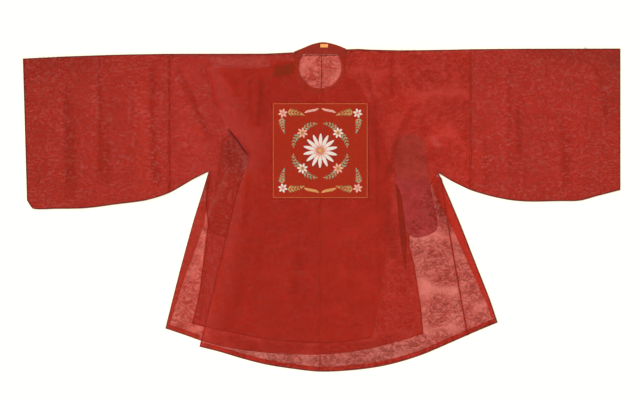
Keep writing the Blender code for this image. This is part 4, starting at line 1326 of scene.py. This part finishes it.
def make_badge(satin, gold, flosses, thread):
    """A square of red silk on the chest: a laid gold border and a medallion of flowers."""
    square = badge_corners()
    piece = add_piece("badge_ground", cut_sheet(square, on_outer), satin)
    mark_cloth(piece)
    stands_for(piece, "badge")

    border = badge_corners(0.0035)
    border += border[:1]
    steps = 60
    rail = []
    for start, end in zip(border, border[1:]):
        rail += [(start[0] + (end[0] - start[0]) * k / steps, start[1] + (end[1] - start[1]) * k / steps)
                 for k in range(steps)]
    rail.append(border[-1])
    stitches("badge_border_cord", ((rail, above(on_outer, 0.0004), 0.0042),), gold,
             length=0.0062, width=0.0030, tilt=0.35)
    stitches("badge_stitching", ((rail, above(on_outer, 0.0007), 0.006),), thread)

    colours = {name: [] for name in flosses}
    middle = (BADGE_LEFT + BADGE_SIDE / 2, BADGE_BOTTOM + BADGE_SIDE / 2)
    flower(colours, middle, 0.070, 14, 0.2, "white", "pink", "gold")
    for k in range(14):
        angle = 0.2 + 2 * math.pi * (k + 0.5) / 14
        tip = (middle[0] + 0.066 * math.cos(angle), middle[1] + 0.066 * math.sin(angle))
        colours["black"].append((tip, angle, 0.012, 0.0035, 0.6))
    for k in range(4):
        angle = math.pi / 4 + math.pi / 2 * k
        bud = (middle[0] + 0.105 * math.cos(angle), middle[1] + 0.105 * math.sin(angle))
        flower(colours, bud, 0.022, 7, angle, "pink" if k % 2 else "white", "gold", "olive")
        for side in (-1, 1):
            out = angle + side * 1.3
            start = (bud[0] + 0.020 * math.cos(out), bud[1] + 0.020 * math.sin(out))
            spray(colours, start, angle + side * 1.6, 0.052, "olive", "teal", side * 0.9, 4)
    for sx in (-1, 1):
        for sy in (-1, 1):
            corner = (middle[0] + sx * 0.156, middle[1] + sy * 0.156)
            inward = math.atan2(-sy, -sx)
            flower(colours, corner, 0.019, 6, inward, "white" if sx * sy > 0 else "pink", "pink", "gold")
            spray(colours, (corner[0] - sx * 0.022, corner[1] + sy * 0.004), math.pi / 2 * (1 + sx), 0.062,
                  "gold", "olive", 0.4 * sx * sy, 5)
            spray(colours, (corner[0] + sx * 0.004, corner[1] - sy * 0.022), -math.pi / 2 * sy, 0.056,
                  "teal", "gold", -0.4 * sx * sy, 5)
    for side in (-1, 1):
        for share in (0.0, 0.5, 1.0):
            across = middle[0] + side * (0.020 + 0.032 * share)
            below = (across, middle[1] - 0.168 + 0.006 * share)
            over = (across, middle[1] + 0.170 - 0.006 * share)
            colours["gold"].append((below, 0.4 * side, 0.034, 0.011, 0.6))
            colours["pink"].append((over, -0.4 * side, 0.030, 0.009, 0.6))
    for name, petals in colours.items():
        floss_piece("floss_" + name, petals, flosses[name])


# Stage ------------------------------------------------------------------------------------------

def make_stage():
    """Pale paper floor, soft light from all round and a soft lamp high at the left."""
    floor = bmesh.new()
    bmesh.ops.create_grid(floor, x_segments=4, y_segments=4, size=9.0)
    for vert in floor.verts:
        vert.co.z = -0.0004
    data = bpy.data.meshes.new("paper_floor")
    floor.to_mesh(data)
    floor.free()
    data.materials.append(floor_paper())
    paper = bpy.data.objects.new("paper_floor", data)
    bpy.context.scene.collection.objects.link(paper)

    scene = bpy.context.scene
    world = bpy.data.worlds.new("studio")
    world.use_nodes = True
    sky = world.node_tree.nodes["Background"]
    sky.inputs["Color"].default_value = (1.0, 0.995, 0.975, 1.0)
    sky.inputs["Strength"].default_value = SKY_STRENGTH
    scene.world = world
    lamp = bpy.data.lights.new("lamp", "SUN")
    lamp.energy = LAMP_STRENGTH
    lamp.angle = math.radians(14)
    lamp.color = (1.0, 0.99, 0.96)
    hung = bpy.data.objects.new("lamp", lamp)
    hung.rotation_euler = Vector(LAMP_FROM).to_track_quat("Z", "Y").to_euler()
    scene.collection.objects.link(hung)

    lens = bpy.data.cameras.new("camera")
    lens.lens = 100
    lens.sensor_width = 36
    eye = bpy.data.objects.new("camera", lens)
    eye.location = (*VIEW_CENTRE, VIEW_WIDTH * lens.lens / lens.sensor_width)
    scene.collection.objects.link(eye)
    scene.camera = eye
    scene.view_settings.view_transform = "Standard"
    scene.cycles.transparent_max_bounces = 32    # light passes up to five gauzes and back


def main():
    back_gauze = gauze_material("silk_gauze_back", "#D4402C", "#DE525A", 0.430, 0.23, 0.3, grain=0.05)
    inner_gauze = gauze_material("silk_gauze_inner", "#C23526", "#C43F38", 0.460, 0.03, 0.22, 1.0, grain=0.08)
    front_gauze = gauze_material("silk_gauze_front", "#CC3A26", "#DA525E", 0.405, 0.25, 0.26, 0.3, grain=0.05)
    sleeve_gauze = gauze_material("silk_gauze_sleeve", "#C83A2A", "#CA443C", 0.472, 0.03, 0.23, 1.0,
                                  grain=0.07)
    doubled = gauze_material("silk_gauze_doubled", "#CC3E2A", "#CA4636", 0.520, 0.0, 0.2, 1.0, grain=0.08)
    under_flap = gauze_material("silk_gauze_under_flap", "#EA4A2C", "#E84E34", 0.520, 0.0, 0.2, 1.0,
                                grain=0.08)
    seam = gauze_material("silk_gauze_seam", "#BC3622", "#BC402E", 0.560)
    allowance = gauze_material("silk_gauze_allowance", "#BC3624", "#BC3E2E", 0.400)
    # rolled hems: doubled cloth, drawn dark purple also as painted shadow along the outline
    edge = gauze_material("silk_gauze_rolled_outline_shadow", "#742E34", "#742E30", 0.780)
    # the back's turned edge: dark brown, as painted shadow of its fold
    turned = gauze_material("silk_gauze_turned_fold_shadow", "#442210", "#3E1E0C", 0.780)
    satin = gauze_material("silk_satin_badge", "#CC3B22", "#B8321E", 0.850, 0.0, 0.1, roughness=0.45)
    mauve = plain_silk("silk_tabby_mauve", "#885E54", (0.380, 0.250), (0.08, 0.20), "#9A626C", wear=2.2)
    brown = plain_silk("silk_tabby_brown", "#744A3C", (-0.335, 0.220), (0.055, 0.115), "#A03C2A", wear=0.8)
    collar_silk = gauze_material("silk_gauze_collar", "#C0381F", "#BC3E2C", 0.580, 0.0, 0.3)
    collar_dark = plain_silk("silk_tabby_dark", "#842216")
    tab = gauze_material("silk_tabby_olive", "#B04426", "#A84224", 0.330)
    sewing = floss_material("silk_thread_red", "#8E2A20")
    gold = floss_material("silk_thread_gold", "#C8622C")
    flosses = {
        "white": floss_material("silk_floss_white", "#D2C8BE"),
        "pink": floss_material("silk_floss_pink", "#D69A88"),
        "olive": floss_material("silk_floss_olive", "#A08A4C"),
        "teal": floss_material("silk_floss_sage", "#8C9C84"),
        "gold": floss_material("silk_floss_gold", "#C98A4A"),
        "black": floss_material("silk_floss_black", "#2A1C1A"),
    }
    edges = make_edges(edge, seam, allowance)
    make_backs(back_gauze)
    make_fronts(front_gauze, inner_gauze)
    make_sleeve("sleeve_left", SEAM_LEFT - SEAM, SHOULDER_LEFT, UNDER_SLEEVE_LEFT, sleeve_gauze)
    make_sleeve("sleeve_right", SEAM_RIGHT + SEAM, SHOULDER_RIGHT, UNDER_SLEEVE_RIGHT, sleeve_gauze)
    make_facings(doubled, under_flap)
    make_turned_edges(doubled, turned)
    make_underarm(mauve, brown)
    make_collar(collar_silk, collar_dark, tab, slip_paper(), sewing)
    make_loose_threads(sewing)
    make_badge(satin, gold, flosses, sewing)
    make_stage()


main()
